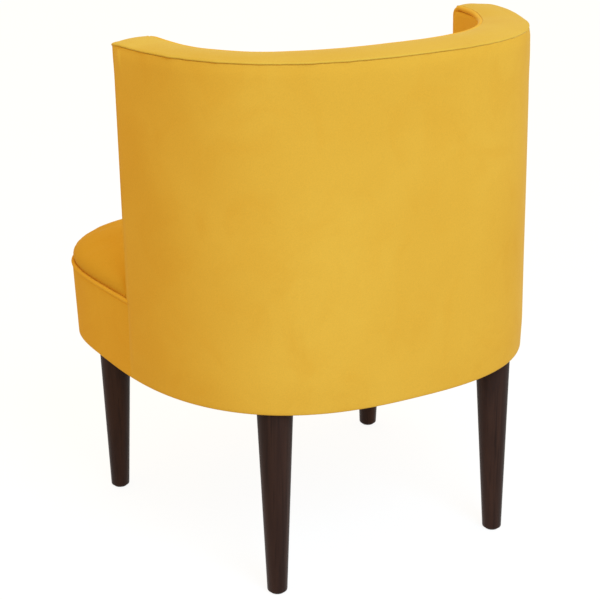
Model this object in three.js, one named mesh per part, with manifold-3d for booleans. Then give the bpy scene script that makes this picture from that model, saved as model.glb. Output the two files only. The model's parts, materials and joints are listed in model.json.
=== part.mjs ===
// Barrel-backed slipper chair: velvet covers over foam, on a timber frame with four turned legs.
// Millimetres, +Z up, the front of the seat faces -Y, the origin is on the floor under the middle.
import * as THREE from 'three';
import { mergeVertices } from 'three/addons/utils/BufferGeometryUtils.js';
import Module from 'manifold-3d';

const wasm = await Module();
wasm.setup();

// Plan outline of the body, measured from the line where the chair is widest
const hemHalfWidth = 331.7;
const hemBackReach = 357.1;
const rimInset = 0.5;
const rimBackInset = 19.8;
const backSquareShare = 2.58;
const seatFrontReach = 231.7;
const frontSquareShare = 4.1;
const armFrontPlace = 73.5;
const armFrontRake = 14.3;
const rakeRunLength = 180;
const seatFlare = 4.3;
const flareRunLength = 150;

// Heights above the floor
const rimSeamHeight = 800;
const rimCrown = 5;
const seatWeltHeight = 417;
const bandHeight = 121;
const seatEdgeRise = 3;
const seatCrown = 60;

// Thickness of the wall of arms and back, and of what lies in it
const armThickness = 64.4;
const backThickness = 77.6;
const coverThickness = 1.5;
const waddingThickness = 4;
const outerPanelThickness = 4;
const railThickness = 24;
const innerPanelThickness = 3;
const armPadThickness = 11;
const armFrontBulge = 4;
const seatEarClearance = 2;
const clearance = 0.3;
const weltRadius = 3.5;

// Timber frame
const frameLift = 6;
const railTopDrop = 33;
const topRailHeight = 28;
const postWidth = 44;
const rimPadHeight = 16;
const blockInnerDepth = 82;
const frontBlockHalfLength = 62;
const rearBlockHalfLength = 55;

// Webbing under the seat
const webbingWidth = 50;
const webbingThickness = 2;
const webbingEndDepth = 20;
const webbingSideInset = 151.7;
const webbingFrontInset = 106.7;
const webbingBackInset = 192.1;
const dustClothThickness = 1;

// Legs, their glides and their fixings
const frontLegSideInset = 80.1;
const frontLegFrontInset = 72.8;
const rearLegSideInset = 131.5;
const rearLegBackInset = 67.9;
const rearLegSplay = 3.8;
const rearLegRake = 11.5;
const legTopRadius = 27.1;
const legFootRadius = 15.1;
const footRounding = 2.5;
const glideRadius = 11.5;
const glideHeight = 2.2;
const glideRounding = 0.8;
const glideShankRadius = 1.6;
const glideShankLength = 14;
const boltRadius = 3.9;
const boltChamfer = 1;
const boltInLeg = 42;
const boltInBlock = 34;
const insertRadius = 6.5;
const insertLength = 22;
const insertFlangeRadius = 9.5;
const insertFlangeThickness = 1.6;
const cutOverrun = 2;

// Curve shapes, steps and shares of the sizes above
const domeFallShare = 2.6;
const domeFullShare = 0.36;
const rimFallShare = 4;
const rimFullShare = 0.5;
const backPostShare = 0.19;
const cornerPostShare = 0.6;
const thickeningStartShare = 0.2;
const thickeningEndShare = 0.75;
const seatCentreShare = 0.2;
const seatRingShares = [0.3, 0.56, 0.76, 0.89, 0.97, 1];
const earStepShares = [0.2, 0.5, 0.8, 1];
const rimStepShares = [0, 0.02, 0.06, 0.14, 0.28, 0.5, 0.72, 0.88, 1];
const armStepShares = [0, 0.05, 0.2, 0.5, 0.8, 0.95, 1];
const wallStationCount = 20;
const frontStationCount = 20;
const outlineSampleCount = 1600;
const legSegmentCount = 20;
const boltSegmentCount = 12;
const glideSegmentCount = 16;
const cordSideCount = 8;
const cordCornerStepCount = 4;

// Places that follow from the sizes above
const hemHeight = seatWeltHeight - bandHeight;
const bodyHeight = rimSeamHeight - hemHeight;
const frameBottom = hemHeight + frameLift;
const railTop = seatWeltHeight - railTopDrop;
const deckHeight = railTop + 2 * (webbingThickness + clearance) + clearance;
const frameTop = rimSeamHeight - rimPadHeight;
const topRailBottom = frameTop - topRailHeight;
const waddingDepth = coverThickness + clearance;
const outerPanelDepth = waddingDepth + waddingThickness + clearance;
const railDepth = outerPanelDepth + outerPanelThickness + clearance;
const innerPanelDepth = railDepth + railThickness + clearance;
const foamDepth = innerPanelDepth + innerPanelThickness + clearance;
const seatEdgeHeight = seatWeltHeight + seatEdgeRise;
const seatWeltDepth = weltRadius - seatFlare / 2;
const seatEdgeDepth = seatWeltDepth + weltRadius + 2 * clearance;
const weltInset = weltRadius - clearance;
const rimWeltHeight = rimSeamHeight + rimCrown - weltRadius;
const armGap = armFrontBulge + coverThickness + seatEarClearance;
const weltBend = weltRadius + coverThickness;

const colours = {
  velvet: { color: 0xe0b244, roughness: 0.85, metalness: 0 },
  legWood: { color: 0x2d1e19, roughness: 0.45, metalness: 0 },
  frameWood: { color: 0xc7a678, roughness: 0.8, metalness: 0 },
  board: { color: 0x9a7650, roughness: 0.85, metalness: 0 },
  foam: { color: 0xf0e6c8, roughness: 0.95, metalness: 0 },
  wadding: { color: 0xf4f3ee, roughness: 0.95, metalness: 0 },
  webbing: { color: 0xb9a27a, roughness: 0.9, metalness: 0 },
  dustCloth: { color: 0x1c1c1e, roughness: 0.95, metalness: 0 },
  steel: { color: 0xa9abad, roughness: 0.35, metalness: 1 },
  nylon: { color: 0x3a3836, roughness: 0.5, metalness: 0 },
};

const chair = new THREE.Group();

function addPiece(name, geometry, finish) {
  geometry.computeVertexNormals();
  const mesh = new THREE.Mesh(geometry, new THREE.MeshStandardMaterial(finish));
  mesh.name = name;
  chair.add(mesh);
  return mesh;
}

// Closed bodies from rings of points; a ring of one point closes an end, any other end is capped.
// Every four-sided face is split along the diagonal that climbs, so that neighbouring layers nest.
function bodyFromRings(rings, capFaces = [], fallsAt = (i, j, k) => rings[i][j].z > rings[i][k].z) {
  const positions = rings.flat().flatMap((point) => [point.x, point.y, point.z]);
  const faces = [];
  let start = 0;
  for (let i = 0; i + 1 < rings.length; i += 1) {
    const here = rings[i].length;
    const next = rings[i + 1].length;
    const nextStart = start + here;
    const sides = Math.max(here, next);
    for (let j = 0; j < sides; j += 1) {
      const k = (j + 1) % sides;
      if (here === next && fallsAt(i, j, k)) {
        faces.push([start + j, start + k, nextStart + j]);
        faces.push([start + k, nextStart + k, nextStart + j]);
      } else {
        if (next > 1) faces.push([start + (j % here), nextStart + k, nextStart + j]);
        if (here > 1) faces.push([start + j, start + k, nextStart + (k % next)]);
      }
    }
    start = nextStart;
  }
  for (const [a, b, c] of capFaces) {
    faces.push([a, c, b]);
    faces.push([start + a, start + b, start + c]);
  }
  const geometry = new THREE.BufferGeometry();
  geometry.setAttribute('position', new THREE.Float32BufferAttribute(positions, 3));
  geometry.setIndex(faces.flat());
  return signedVolume(geometry) < 0 ? turnedInsideOut(geometry) : geometry;
}

// Triangles that fill an outline, each turned the same way round as the outline
function fillOutline(outline) {
  const turn = (points) => Math.sign(THREE.ShapeUtils.area(points));
  const way = turn(outline);
  return THREE.ShapeUtils.triangulateShape(outline, []).map(([a, b, c]) => (
    turn([outline[a], outline[b], outline[c]]) === way ? [a, b, c] : [a, c, b]));
}

function signedVolume(geometry) {
  const position = geometry.getAttribute('position');
  const [a, b, c] = [new THREE.Vector3(), new THREE.Vector3(), new THREE.Vector3()];
  let volume = 0;
  for (let i = 0; i < geometry.index.count; i += 3) {
    a.fromBufferAttribute(position, geometry.index.getX(i));
    b.fromBufferAttribute(position, geometry.index.getX(i + 1));
    c.fromBufferAttribute(position, geometry.index.getX(i + 2));
    volume += a.dot(b.cross(c)) / 6;
  }
  return volume;
}

function turnedInsideOut(geometry) {
  const turned = geometry.clone();
  turned.setIndex(Array.from(geometry.index.array).reverse());
  return turned;
}

// Joins and cuts
function toSolid(geometry) {
  const bare = geometry.clone();
  bare.deleteAttribute('normal');
  bare.deleteAttribute('uv');
  const merged = mergeVertices(bare);
  const mesh = new wasm.Mesh({
    numProp: 3,
    vertProperties: new Float32Array(merged.getAttribute('position').array),
    triVerts: new Uint32Array(merged.index.array),
  });
  return new wasm.Manifold(mesh);
}

function toGeometry(solid) {
  const mesh = solid.getMesh();
  const geometry = new THREE.BufferGeometry();
  geometry.setAttribute('position', new THREE.Float32BufferAttribute(mesh.vertProperties, mesh.numProp));
  geometry.setIndex(Array.from(mesh.triVerts));
  return geometry;
}

function cutFrom(geometry, ...cutters) {
  const solid = cutters.reduce((left, cutter) => left.subtract(toSolid(cutter)), toSolid(geometry));
  return toGeometry(solid);
}

// Turned shapes stand upright: the profile lists radius and height from the lower to the upper axis point
function turned(profile, segments, x, y) {
  const points = profile.map(([radius, height]) => new THREE.Vector2(radius, height));
  const geometry = new THREE.LatheGeometry(points, segments);
  geometry.rotateX(Math.PI / 2);
  geometry.translate(x, y, 0);
  geometry.deleteAttribute('uv');
  geometry.deleteAttribute('normal');
  const merged = mergeVertices(geometry);
  return signedVolume(merged) < 0 ? turnedInsideOut(merged) : merged;
}

function upright(radius, from, to, x, y) {
  return turned([[0, from], [radius, from], [radius, to], [0, to]], boltSegmentCount, x, y);
}

// The outline is one closed curve: a rounded back half and a squarer front half
function outlinePoint(angle, halfWidth, backReach, frontReach) {
  const behind = Math.cos(angle) >= 0;
  const power = 2 / (behind ? backSquareShare : frontSquareShare);
  const reach = behind ? backReach : -frontReach;
  const x = halfWidth * Math.pow(Math.abs(Math.sin(angle)), power);
  return new THREE.Vector2(x, reach * Math.pow(Math.abs(Math.cos(angle)), power));
}

function hemPoint(angle) {
  return outlinePoint(angle, hemHalfWidth, hemBackReach, seatFrontReach);
}

function rimPoint(angle) {
  return outlinePoint(angle, hemHalfWidth - rimInset, hemBackReach - rimBackInset, seatFrontReach);
}

// Lengths along the hem from the middle of the back to each sampled angle
const sampleAngles = Array.from(
  { length: outlineSampleCount + 1 }, (_, i) => (Math.PI * i) / outlineSampleCount,
);
const sampleLengths = [0];
for (let i = 1; i <= outlineSampleCount; i += 1) {
  const step = hemPoint(sampleAngles[i]).distanceTo(hemPoint(sampleAngles[i - 1]));
  sampleLengths.push(sampleLengths[i - 1] + step);
}
const halfGirth = sampleLengths[outlineSampleCount];
const armEndIndex = sampleAngles.findIndex((angle) => hemPoint(angle).y < armFrontPlace);
const armLength = sampleLengths[armEndIndex];

function angleAtLength(length) {
  const found = sampleLengths.findIndex((value) => value >= length);
  const i = Math.max(found < 0 ? outlineSampleCount : found, 1);
  const share = (length - sampleLengths[i - 1]) / (sampleLengths[i] - sampleLengths[i - 1]);
  return sampleAngles[i - 1] + share * (sampleAngles[i] - sampleAngles[i - 1]);
}

function smoothShare(value, from, to) {
  const share = Math.min(Math.max((value - from) / (to - from), 0), 1);
  return share * share * (3 - 2 * share);
}

// A station holds the outline at the hem and at the rim, the way into the wall and the wall's thickness
function makeStation(length) {
  const angle = angleAtLength(length);
  const hem = hemPoint(angle);
  const rakeShare = 1 - smoothShare(Math.abs(length - armLength), 0, rakeRunLength);
  const rim = rimPoint(angleAtLength(Math.min(length + armFrontRake * rakeShare, halfGirth)));
  const behind = hem.y >= 0;
  const power = (behind ? backSquareShare : frontSquareShare) - 1;
  const reach = behind ? hemBackReach : -seatFrontReach;
  const inward = new THREE.Vector2(
    -Math.pow(hem.x / hemHalfWidth, power) / hemHalfWidth,
    -Math.pow(hem.y / reach, power) / reach,
  ).normalize();
  if (length > armLength) {
    rim.set(hem.x * (1 - rimInset / hemHalfWidth), hem.y);
    const flare = seatFlare * smoothShare(length, armLength, armLength + flareRunLength);
    rim.addScaledVector(inward, (-flare * bodyHeight) / (seatWeltHeight - hemHeight));
  }
  const thickening = smoothShare(hem.y / hemBackReach, thickeningStartShare, thickeningEndShare);
  const thickness = armThickness + (backThickness - armThickness) * thickening;
  return { hem, rim, inward, thickness };
}

const stationLengths = [];
for (let i = 0; i <= wallStationCount; i += 1) stationLengths.push((armLength * i) / wallStationCount);
for (let i = 1; i <= frontStationCount; i += 1) {
  stationLengths.push(armLength + ((halfGirth - armLength) * i) / frontStationCount);
}
const stations = stationLengths.map(makeStation);

// A place is a length along the hem from the middle of the back, positive to +X, on round the front
function foldPlace(place) {
  if (place < 0) return { side: -1, length: -place };
  if (place > halfGirth) return { side: -1, length: 2 * halfGirth - place };
  return { side: 1, length: place };
}

function blendAt(place) {
  const { side, length } = foldPlace(place);
  const last = stationLengths.length - 1;
  const above = stationLengths.findIndex((value) => value >= length);
  const i = Math.min(Math.max(above < 0 ? last : above, 1), last);
  const share = (length - stationLengths[i - 1]) / (stationLengths[i] - stationLengths[i - 1]);
  return { side, from: stations[i - 1], to: stations[i], share };
}

function thicknessAt(place) {
  const { from, to, share } = blendAt(place);
  return from.thickness + (to.thickness - from.thickness) * share;
}

function stationPoint(station, height, depth) {
  const rise = (height - hemHeight) / bodyHeight;
  return station.hem.clone().lerp(station.rim, rise).addScaledVector(station.inward, depth);
}

function wallPoint(place, height, depth) {
  const { side, from, to, share } = blendAt(place);
  const flat = stationPoint(from, height, depth).lerp(stationPoint(to, height, depth), share);
  return new THREE.Vector3(side * flat.x, flat.y, height);
}

// Points at the arm's front end, moved forward of it along the wall
function armEndPoint(side, height, depth, forward) {
  const station = stations[wallStationCount];
  const flat = stationPoint(station, height, depth);
  flat.addScaledVector(new THREE.Vector2(-station.inward.y, station.inward.x), forward);
  return new THREE.Vector3(side * flat.x, flat.y, height);
}

function placesBetween(from, to) {
  const all = [...stationLengths, ...stationLengths.map((length) => -length),
    ...stationLengths.map((length) => 2 * halfGirth - length)];
  const inside = all.filter((place) => place > from + clearance && place < to - clearance);
  return [from, ...new Set(inside.sort((a, b) => a - b)), to].filter(
    (place, i, list) => i === 0 || place - list[i - 1] > clearance / 2,
  );
}

// A strip runs along the outline between two places; its section lists depth and height
function strip(sectionAt, from, to) {
  const rings = placesBetween(from, to).map(
    (place) => sectionAt(place).map(([depth, height]) => wallPoint(place, height, depth)),
  );
  const outline = sectionAt(from).map(([depth, height]) => new THREE.Vector2(depth, height));
  return bodyFromRings(rings, fillOutline(outline));
}

function boardSection(depthFrom, depthTo, heightFrom, heightTo) {
  return () => [
    [depthFrom, heightFrom], [depthTo, heightFrom], [depthTo, heightTo], [depthFrom, heightTo],
  ];
}

function board(depth, thickness, heightFrom, heightTo, from, to) {
  return strip(boardSection(depth, depth + thickness, heightFrom, heightTo), from, to);
}

function box(width, depth, height, x, y, z) {
  const shape = new THREE.Shape([
    new THREE.Vector2(-width / 2, -depth / 2), new THREE.Vector2(width / 2, -depth / 2),
    new THREE.Vector2(width / 2, depth / 2), new THREE.Vector2(-width / 2, depth / 2),
  ]);
  const geometry = new THREE.ExtrudeGeometry(shape, { depth: height, bevelEnabled: false });
  geometry.translate(x, y, z);
  return geometry;
}

// Legs stand under solid blocks of the seat frame
const frontFoot = [hemHalfWidth - frontLegSideInset, frontLegFrontInset - seatFrontReach];
const rearFoot = [hemHalfWidth - rearLegSideInset, hemBackReach - rearLegBackInset];
const legPlaces = [
  { name: 'front_left', side: -1, foot: frontFoot, lean: [0, 0] },
  { name: 'front_right', side: 1, foot: frontFoot, lean: [0, 0] },
  { name: 'rear_left', side: -1, foot: rearFoot, lean: [rearLegSplay, rearLegRake] },
  { name: 'rear_right', side: 1, foot: rearFoot, lean: [rearLegSplay, rearLegRake] },
];
const clothBottom = frameBottom - clearance - dustClothThickness;
const legTop = clothBottom - clearance;
const legBottom = glideHeight + clearance;

function legHead(leg) {
  return [leg.side * (leg.foot[0] - leg.lean[0]), leg.foot[1] - leg.lean[1]];
}

function turnedLeg(leg) {
  const profile = [
    [0, legBottom], [legFootRadius - footRounding, legBottom],
    [legFootRadius, legBottom + footRounding], [legTopRadius, legTop], [0, legTop],
  ];
  const geometry = turned(profile, legSegmentCount, 0, 0);
  const shear = new THREE.Matrix4().set(
    1, 0, (-leg.side * leg.lean[0]) / legTop, leg.side * leg.foot[0],
    0, 1, -leg.lean[1] / legTop, leg.foot[1],
    0, 0, 1, 0,
    0, 0, 0, 1,
  );
  geometry.applyMatrix4(shear);
  const [x, y] = legHead(leg);
  const boltHole = upright(
    boltRadius + clearance, legTop - boltInLeg - clearance, legTop + cutOverrun, x, y,
  );
  const shankTop = glideHeight + glideShankLength + clearance;
  const shankHole = upright(
    glideShankRadius + clearance, legBottom - cutOverrun, shankTop, leg.side * leg.foot[0], leg.foot[1],
  );
  return cutFrom(geometry, boltHole, shankHole);
}

function glide(leg) {
  const profile = [
    [0, 0], [glideRadius - glideRounding, 0], [glideRadius, glideRounding], [glideRadius, glideHeight],
    [glideShankRadius, glideHeight], [glideShankRadius, glideHeight + glideShankLength],
    [0, glideHeight + glideShankLength],
  ];
  return turned(profile, glideSegmentCount, leg.side * leg.foot[0], leg.foot[1]);
}

function hangerBolt(leg) {
  const bottom = legTop - boltInLeg;
  const top = frameBottom + boltInBlock;
  const profile = [
    [0, bottom], [boltRadius - boltChamfer, bottom], [boltRadius, bottom + boltChamfer],
    [boltRadius, top - boltChamfer], [boltRadius - boltChamfer, top], [0, top],
  ];
  return turned(profile, boltSegmentCount, ...legHead(leg));
}

// The threaded insert sits in a pocket in the underside of the block, above the dust cloth
function legInsert(leg) {
  const bottom = frameBottom + clearance;
  const flangeTop = bottom + insertFlangeThickness;
  const top = bottom + insertLength;
  const bore = boltRadius + clearance;
  const profile = [
    [bore, bottom], [insertFlangeRadius, bottom], [insertFlangeRadius, flangeTop],
    [insertRadius, flangeTop], [insertRadius, top], [bore, top], [bore, bottom],
  ];
  return turned(profile, boltSegmentCount, ...legHead(leg));
}

// Each block is centred on its leg along the outline
function lengthNearest(x, y) {
  const target = new THREE.Vector2(x, y);
  const distances = sampleAngles.map((angle) => hemPoint(angle).distanceTo(target));
  return sampleLengths[distances.indexOf(Math.min(...distances))];
}
const frontBlockLength = lengthNearest(frontFoot[0], frontFoot[1]);
const rearBlockLength = lengthNearest(rearFoot[0] - rearLegSplay, rearFoot[1] - rearLegRake);

function blockPlace(leg) {
  const front = leg.foot[1] < 0;
  const middle = front ? frontBlockLength : rearBlockLength;
  const reach = front ? frontBlockHalfLength : rearBlockHalfLength;
  return leg.side > 0 ? [middle - reach, middle + reach] : [-middle - reach, -middle + reach];
}

function legBlock(leg) {
  const [from, to] = blockPlace(leg);
  const solid = board(railDepth, blockInnerDepth - railDepth, frameBottom, railTop, from, to);
  const [x, y] = legHead(leg);
  const low = frameBottom - cutOverrun;
  const flangeTop = frameBottom + insertFlangeThickness + 2 * clearance;
  const insertTop = frameBottom + insertLength + 2 * clearance;
  const boltTop = frameBottom + boltInBlock + clearance;
  return cutFrom(
    solid,
    upright(insertFlangeRadius + clearance, low, flangeTop, x, y),
    upright(insertRadius + clearance, low, insertTop, x, y),
    upright(boltRadius + clearance, low, boltTop, x, y),
  );
}

for (const leg of legPlaces) {
  addPiece(`leg_${leg.name}`, turnedLeg(leg), colours.legWood);
  addPiece(`glide_${leg.name}`, glide(leg), colours.nylon);
  addPiece(`hanger_bolt_${leg.name}`, hangerBolt(leg), colours.steel);
  addPiece(`leg_insert_${leg.name}`, legInsert(leg), colours.steel);
  addPiece(`leg_block_${leg.name}`, legBlock(leg), colours.frameWood);
}

// Seat rails butt against the leg blocks
const frontBlockEnd = frontBlockLength + frontBlockHalfLength + clearance;
const frontBlockStart = frontBlockLength - frontBlockHalfLength - clearance;
const rearBlockEnd = rearBlockLength + rearBlockHalfLength + clearance;
const rearBlockStart = rearBlockLength - rearBlockHalfLength - clearance;

function seatRail(from, to) {
  return board(railDepth, railThickness, frameBottom, railTop, from, to);
}
addPiece('seat_rail_front', seatRail(frontBlockEnd, 2 * halfGirth - frontBlockEnd), colours.frameWood);
addPiece('seat_rail_right', seatRail(rearBlockEnd, frontBlockStart), colours.frameWood);
addPiece('seat_rail_left', seatRail(-frontBlockStart, -rearBlockEnd), colours.frameWood);
addPiece('seat_rail_rear', seatRail(-rearBlockStart, rearBlockStart), colours.frameWood);

// Frame of the arms and back
const armFrameEnd = armLength - armPadThickness - 2 * clearance;
addPiece('top_rail', board(railDepth, railThickness, topRailBottom, frameTop, -armFrameEnd, armFrameEnd),
  colours.frameWood);

function post(from) {
  const bottom = railTop + clearance;
  const top = topRailBottom - clearance;
  return board(railDepth, railThickness, bottom, top, from, from + postWidth);
}
const postStarts = {
  arm_post: armFrameEnd - postWidth,
  corner_post: armLength * cornerPostShare,
  back_post: armLength * backPostShare,
};
for (const [name, start] of Object.entries(postStarts)) {
  addPiece(`${name}_right`, post(start), colours.frameWood);
  addPiece(`${name}_left`, post(-start - postWidth), colours.frameWood);
}

const outerEnd = armLength - clearance;
addPiece('outer_back_panel',
  board(outerPanelDepth, outerPanelThickness, frameBottom, frameTop, -outerEnd, outerEnd), colours.board);
addPiece('inner_back_panel',
  board(innerPanelDepth, innerPanelThickness, deckHeight, frameTop, -armFrameEnd, armFrameEnd),
  colours.board);
addPiece('outside_back_wadding',
  board(waddingDepth, waddingThickness, frameBottom, frameTop, -outerEnd, outerEnd), colours.wadding);

// Webbing: straps across lie on the rails, straps from front to back lie on them
function reachAt(across, halfWidth, reach, squareShare) {
  return reach * Math.pow(1 - Math.pow(across / halfWidth, squareShare), 1 / squareShare);
}

function longStrap(x) {
  const edge = Math.abs(x) + webbingWidth / 2;
  const back = reachAt(edge, hemHalfWidth, hemBackReach, backSquareShare) - webbingEndDepth;
  const front = reachAt(edge, hemHalfWidth, seatFrontReach, frontSquareShare) - webbingEndDepth;
  const bottom = railTop + webbingThickness + 2 * clearance;
  return box(webbingWidth, back + front, webbingThickness, x, (back - front) / 2, bottom);
}

function crossStrap(y) {
  const edge = Math.abs(y) + webbingWidth / 2;
  const reach = y < 0 ? seatFrontReach : hemBackReach;
  const squareShare = y < 0 ? frontSquareShare : backSquareShare;
  const half = reachAt(edge, reach, hemHalfWidth, squareShare) - webbingEndDepth;
  return box(2 * half, webbingWidth, webbingThickness, 0, y, railTop + clearance);
}

const outerStrapPlace = hemHalfWidth - webbingSideInset;
const longStrapPlaces = [-1, -1 / 3, 1 / 3, 1].map((share) => outerStrapPlace * share);
longStrapPlaces.forEach((x, i) => addPiece(`webbing_long_${i + 1}`, longStrap(x), colours.webbing));
const frontStrapPlace = webbingFrontInset - seatFrontReach;
const rearStrapPlace = hemBackReach - webbingBackInset;
const crossStrapPlaces = [frontStrapPlace, (frontStrapPlace + rearStrapPlace) / 2, rearStrapPlace];
crossStrapPlaces.forEach((y, i) => addPiece(`webbing_cross_${i + 1}`, crossStrap(y), colours.webbing));

// The dust cloth closes the underside; the bolts pass through it
function dustCloth() {
  const places = placesBetween(-halfGirth, halfGirth).slice(1);
  const loops = [clothBottom, clothBottom + dustClothThickness].map(
    (height) => places.map((place) => wallPoint(place, height, railDepth)),
  );
  const ends = [clothBottom, clothBottom + dustClothThickness].map((z) => [new THREE.Vector3(0, 0, z)]);
  const sheet = bodyFromRings([ends[0], loops[0], loops[1], ends[1]]);
  const low = clothBottom - cutOverrun;
  const high = frameBottom + cutOverrun;
  const holes = legPlaces.map((leg) => upright(boltRadius + clearance, low, high, ...legHead(leg)));
  return cutFrom(sheet, ...holes);
}
addPiece('dust_cloth', dustCloth(), colours.dustCloth);

// Foam and cover of the inside of the arms and back
function insideFoamSection(place) {
  const inner = thicknessAt(place) - coverThickness - clearance;
  return boardSection(foamDepth, inner, deckHeight, frameTop)();
}
addPiece('inside_back_foam', strip(insideFoamSection, -armFrameEnd, armFrameEnd), colours.foam);

const insideEnd = armLength - 3 * clearance;
function insideCoverSection(place) {
  const depth = thicknessAt(place);
  const top = rimWeltHeight - weltRadius - clearance;
  return boardSection(depth - coverThickness, depth, deckHeight, top)();
}
addPiece('inside_back_cover', strip(insideCoverSection, -insideEnd, insideEnd), colours.velvet);

addPiece('outside_back_cover',
  board(0, coverThickness, hemHeight, rimSeamHeight - clearance, -armLength + clearance / 2,
    armLength - clearance / 2),
  colours.velvet);

// The rim band is gently crowned from the outside seam to the cord at the inner edge
function rimRise(depth, thickness) {
  const away = Math.abs(1 - (2 * depth) / thickness);
  return rimCrown * Math.pow(1 - Math.pow(away, rimFallShare), rimFullShare);
}

function rimTopLine(place, inset, end) {
  const thickness = thicknessAt(place);
  return rimStepShares.map((share) => {
    const depth = inset + (end - inset) * share;
    return [depth, rimSeamHeight - inset + rimRise(depth, thickness)];
  });
}

function rimCoverSection(place) {
  const end = thicknessAt(place) - weltInset - weltRadius - clearance;
  const upper = rimTopLine(place, 0, end);
  const lower = rimTopLine(place, coverThickness, end).reverse();
  return [...upper, ...lower];
}

function rimPadSection(place) {
  const thickness = thicknessAt(place);
  const end = thickness - weltInset - weltRadius - clearance;
  const inner = thickness - coverThickness - clearance;
  const shelf = rimWeltHeight - weltRadius - clearance;
  const bottom = frameTop + clearance;
  const top = rimTopLine(place, coverThickness + clearance, end).reverse();
  return [[waddingDepth, bottom], [inner, bottom], [inner, shelf], [end, shelf], ...top];
}
const rimPadEnd = armLength - weltBend - clearance;
addPiece('rim_pad', strip(rimPadSection, -rimPadEnd, rimPadEnd), colours.foam);
addPiece('rim_cover', strip(rimCoverSection, -outerEnd, outerEnd), colours.velvet);

// Arm fronts: a foam pad behind a softly bulging cover
function armBulge(share) {
  return armFrontBulge * Math.pow(1 - Math.pow(Math.abs(1 - 2 * share), rimFallShare), rimFullShare);
}

function armLine(side, height, depthFrom, depthTo, shares, forwardAt) {
  return shares.map((share) => {
    const depth = depthFrom + (depthTo - depthFrom) * share;
    return armEndPoint(side, height, depth, forwardAt(share));
  });
}

function capFacesOf(ring) {
  return fillOutline(ring.map((point) => new THREE.Vector2(point.x, point.y)));
}

const armPadEnd = armLength - armPadThickness - clearance;
const armCoverBottom = seatWeltHeight + weltRadius + clearance;
const armCoverTop = rimSeamHeight - coverThickness - clearance;
const armCoverEnd = armThickness - weltInset - weltRadius - clearance;

function armCover(side) {
  const backwards = [...armStepShares].reverse();
  const outerFace = coverThickness + clearance;
  const rings = [armCoverBottom, armCoverTop].map((height) => [
    ...armLine(side, height, 0, armCoverEnd, armStepShares, (share) => armBulge(share) + outerFace),
    ...armLine(side, height, 0, armCoverEnd, backwards, (share) => armBulge(share) + clearance),
  ]);
  return bodyFromRings(rings, capFacesOf(rings[0]));
}

function armPad(side) {
  const inner = armThickness - coverThickness - clearance;
  const rings = [railTop + clearance, frameTop].map((height) => [
    ...armLine(side, height, railDepth, inner, armStepShares, (share) => armBulge(share) - armFrontBulge),
    ...[inner, railDepth].map((depth) => wallPoint(side * armPadEnd, height, depth)),
  ]);
  return bodyFromRings(rings, capFacesOf(rings[0]));
}

for (const [name, side] of [['right', 1], ['left', -1]]) {
  addPiece(`arm_front_pad_${name}`, armPad(side), colours.foam);
  addPiece(`arm_front_cover_${name}`, armCover(side), colours.velvet);
}

// The seat is wide in front of the arms and narrow between them; its crown is measured outwards
// from the middle as a share that is 1 at the seat's edge
function crownReach(x, y, inset) {
  const halfWidth = hemHalfWidth - seatEdgeDepth - inset;
  const behind = y >= 0;
  const reach = (behind ? hemBackReach : seatFrontReach) - seatEdgeDepth - inset;
  const power = behind ? backSquareShare : frontSquareShare;
  return Math.pow(
    Math.pow(Math.abs(x) / halfWidth, power) + Math.pow(Math.abs(y) / reach, power), 1 / power,
  );
}

function crownHeight(reachShare, inset) {
  const fall = 1 - Math.pow(Math.min(reachShare, 1), domeFallShare);
  return seatEdgeHeight + (seatCrown - inset) * Math.pow(fall, domeFullShare);
}

const seatSideGap = 2 * clearance;
const frontPlaces = placesBetween(armLength + armGap, 2 * halfGirth - armLength - armGap);
const innerPlaces = stationLengths.slice(0, wallStationCount).filter((_, i) => i % 2 === 0);
const innerRound = [...innerPlaces.map((length) => -length).reverse(), ...innerPlaces.slice(1)];

// Corner points of the seat's plan, in order round it, each as a function of height and inset
function seatBoundary(frontDepth) {
  const innerDepth = armThickness + seatSideGap;
  const armDepths = earStepShares.map((share) => frontDepth + (innerDepth - frontDepth) * share);
  const armSide = (side, depth) => (height) => armEndPoint(side, height, depth, armGap);
  return [
    ...frontPlaces.map((place) => (height, inset) => wallPoint(place, height, frontDepth + inset)),
    ...armDepths.map((depth) => armSide(-1, depth)),
    ...innerRound.map((place) => (height) => wallPoint(place, height, thicknessAt(place) + seatSideGap)),
    ...[...armDepths].reverse().map((depth) => armSide(1, depth)),
  ];
}

const seatCentre = new THREE.Vector2(0, -seatFrontReach * seatCentreShare);

// Along the front the crown ends at the edge; elsewhere it runs on into the arms and the back
function domeRings(frontDepth, inset) {
  const boundary = seatBoundary(frontDepth);
  const corner = boundary[0](seatEdgeHeight, inset);
  const cornerReach = crownReach(corner.x, corner.y, inset);
  const edge = boundary.map((pointAt, i) => {
    const low = pointAt(seatEdgeHeight, inset);
    const ownReach = crownReach(low.x, low.y, inset);
    if (i < frontPlaces.length) return { point: low, full: ownReach };
    return { point: pointAt(crownHeight(ownReach / cornerReach, inset), inset), full: cornerReach };
  });
  const rings = seatRingShares.map((share) => edge.map(({ point, full }) => {
    const x = seatCentre.x + (point.x - seatCentre.x) * share;
    const y = seatCentre.y + (point.y - seatCentre.y) * share;
    return new THREE.Vector3(x, y, crownHeight(crownReach(x, y, inset) / full, inset));
  }));
  const top = crownHeight(crownReach(seatCentre.x, seatCentre.y, inset), inset);
  return [[new THREE.Vector3(seatCentre.x, seatCentre.y, top)], ...rings];
}

function seatCover() {
  const upper = domeRings(seatEdgeDepth, 0);
  const lower = domeRings(seatEdgeDepth, coverThickness);
  return bodyFromRings([...upper, ...lower.reverse()], [], (i) => i >= upper.length);
}

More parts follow.
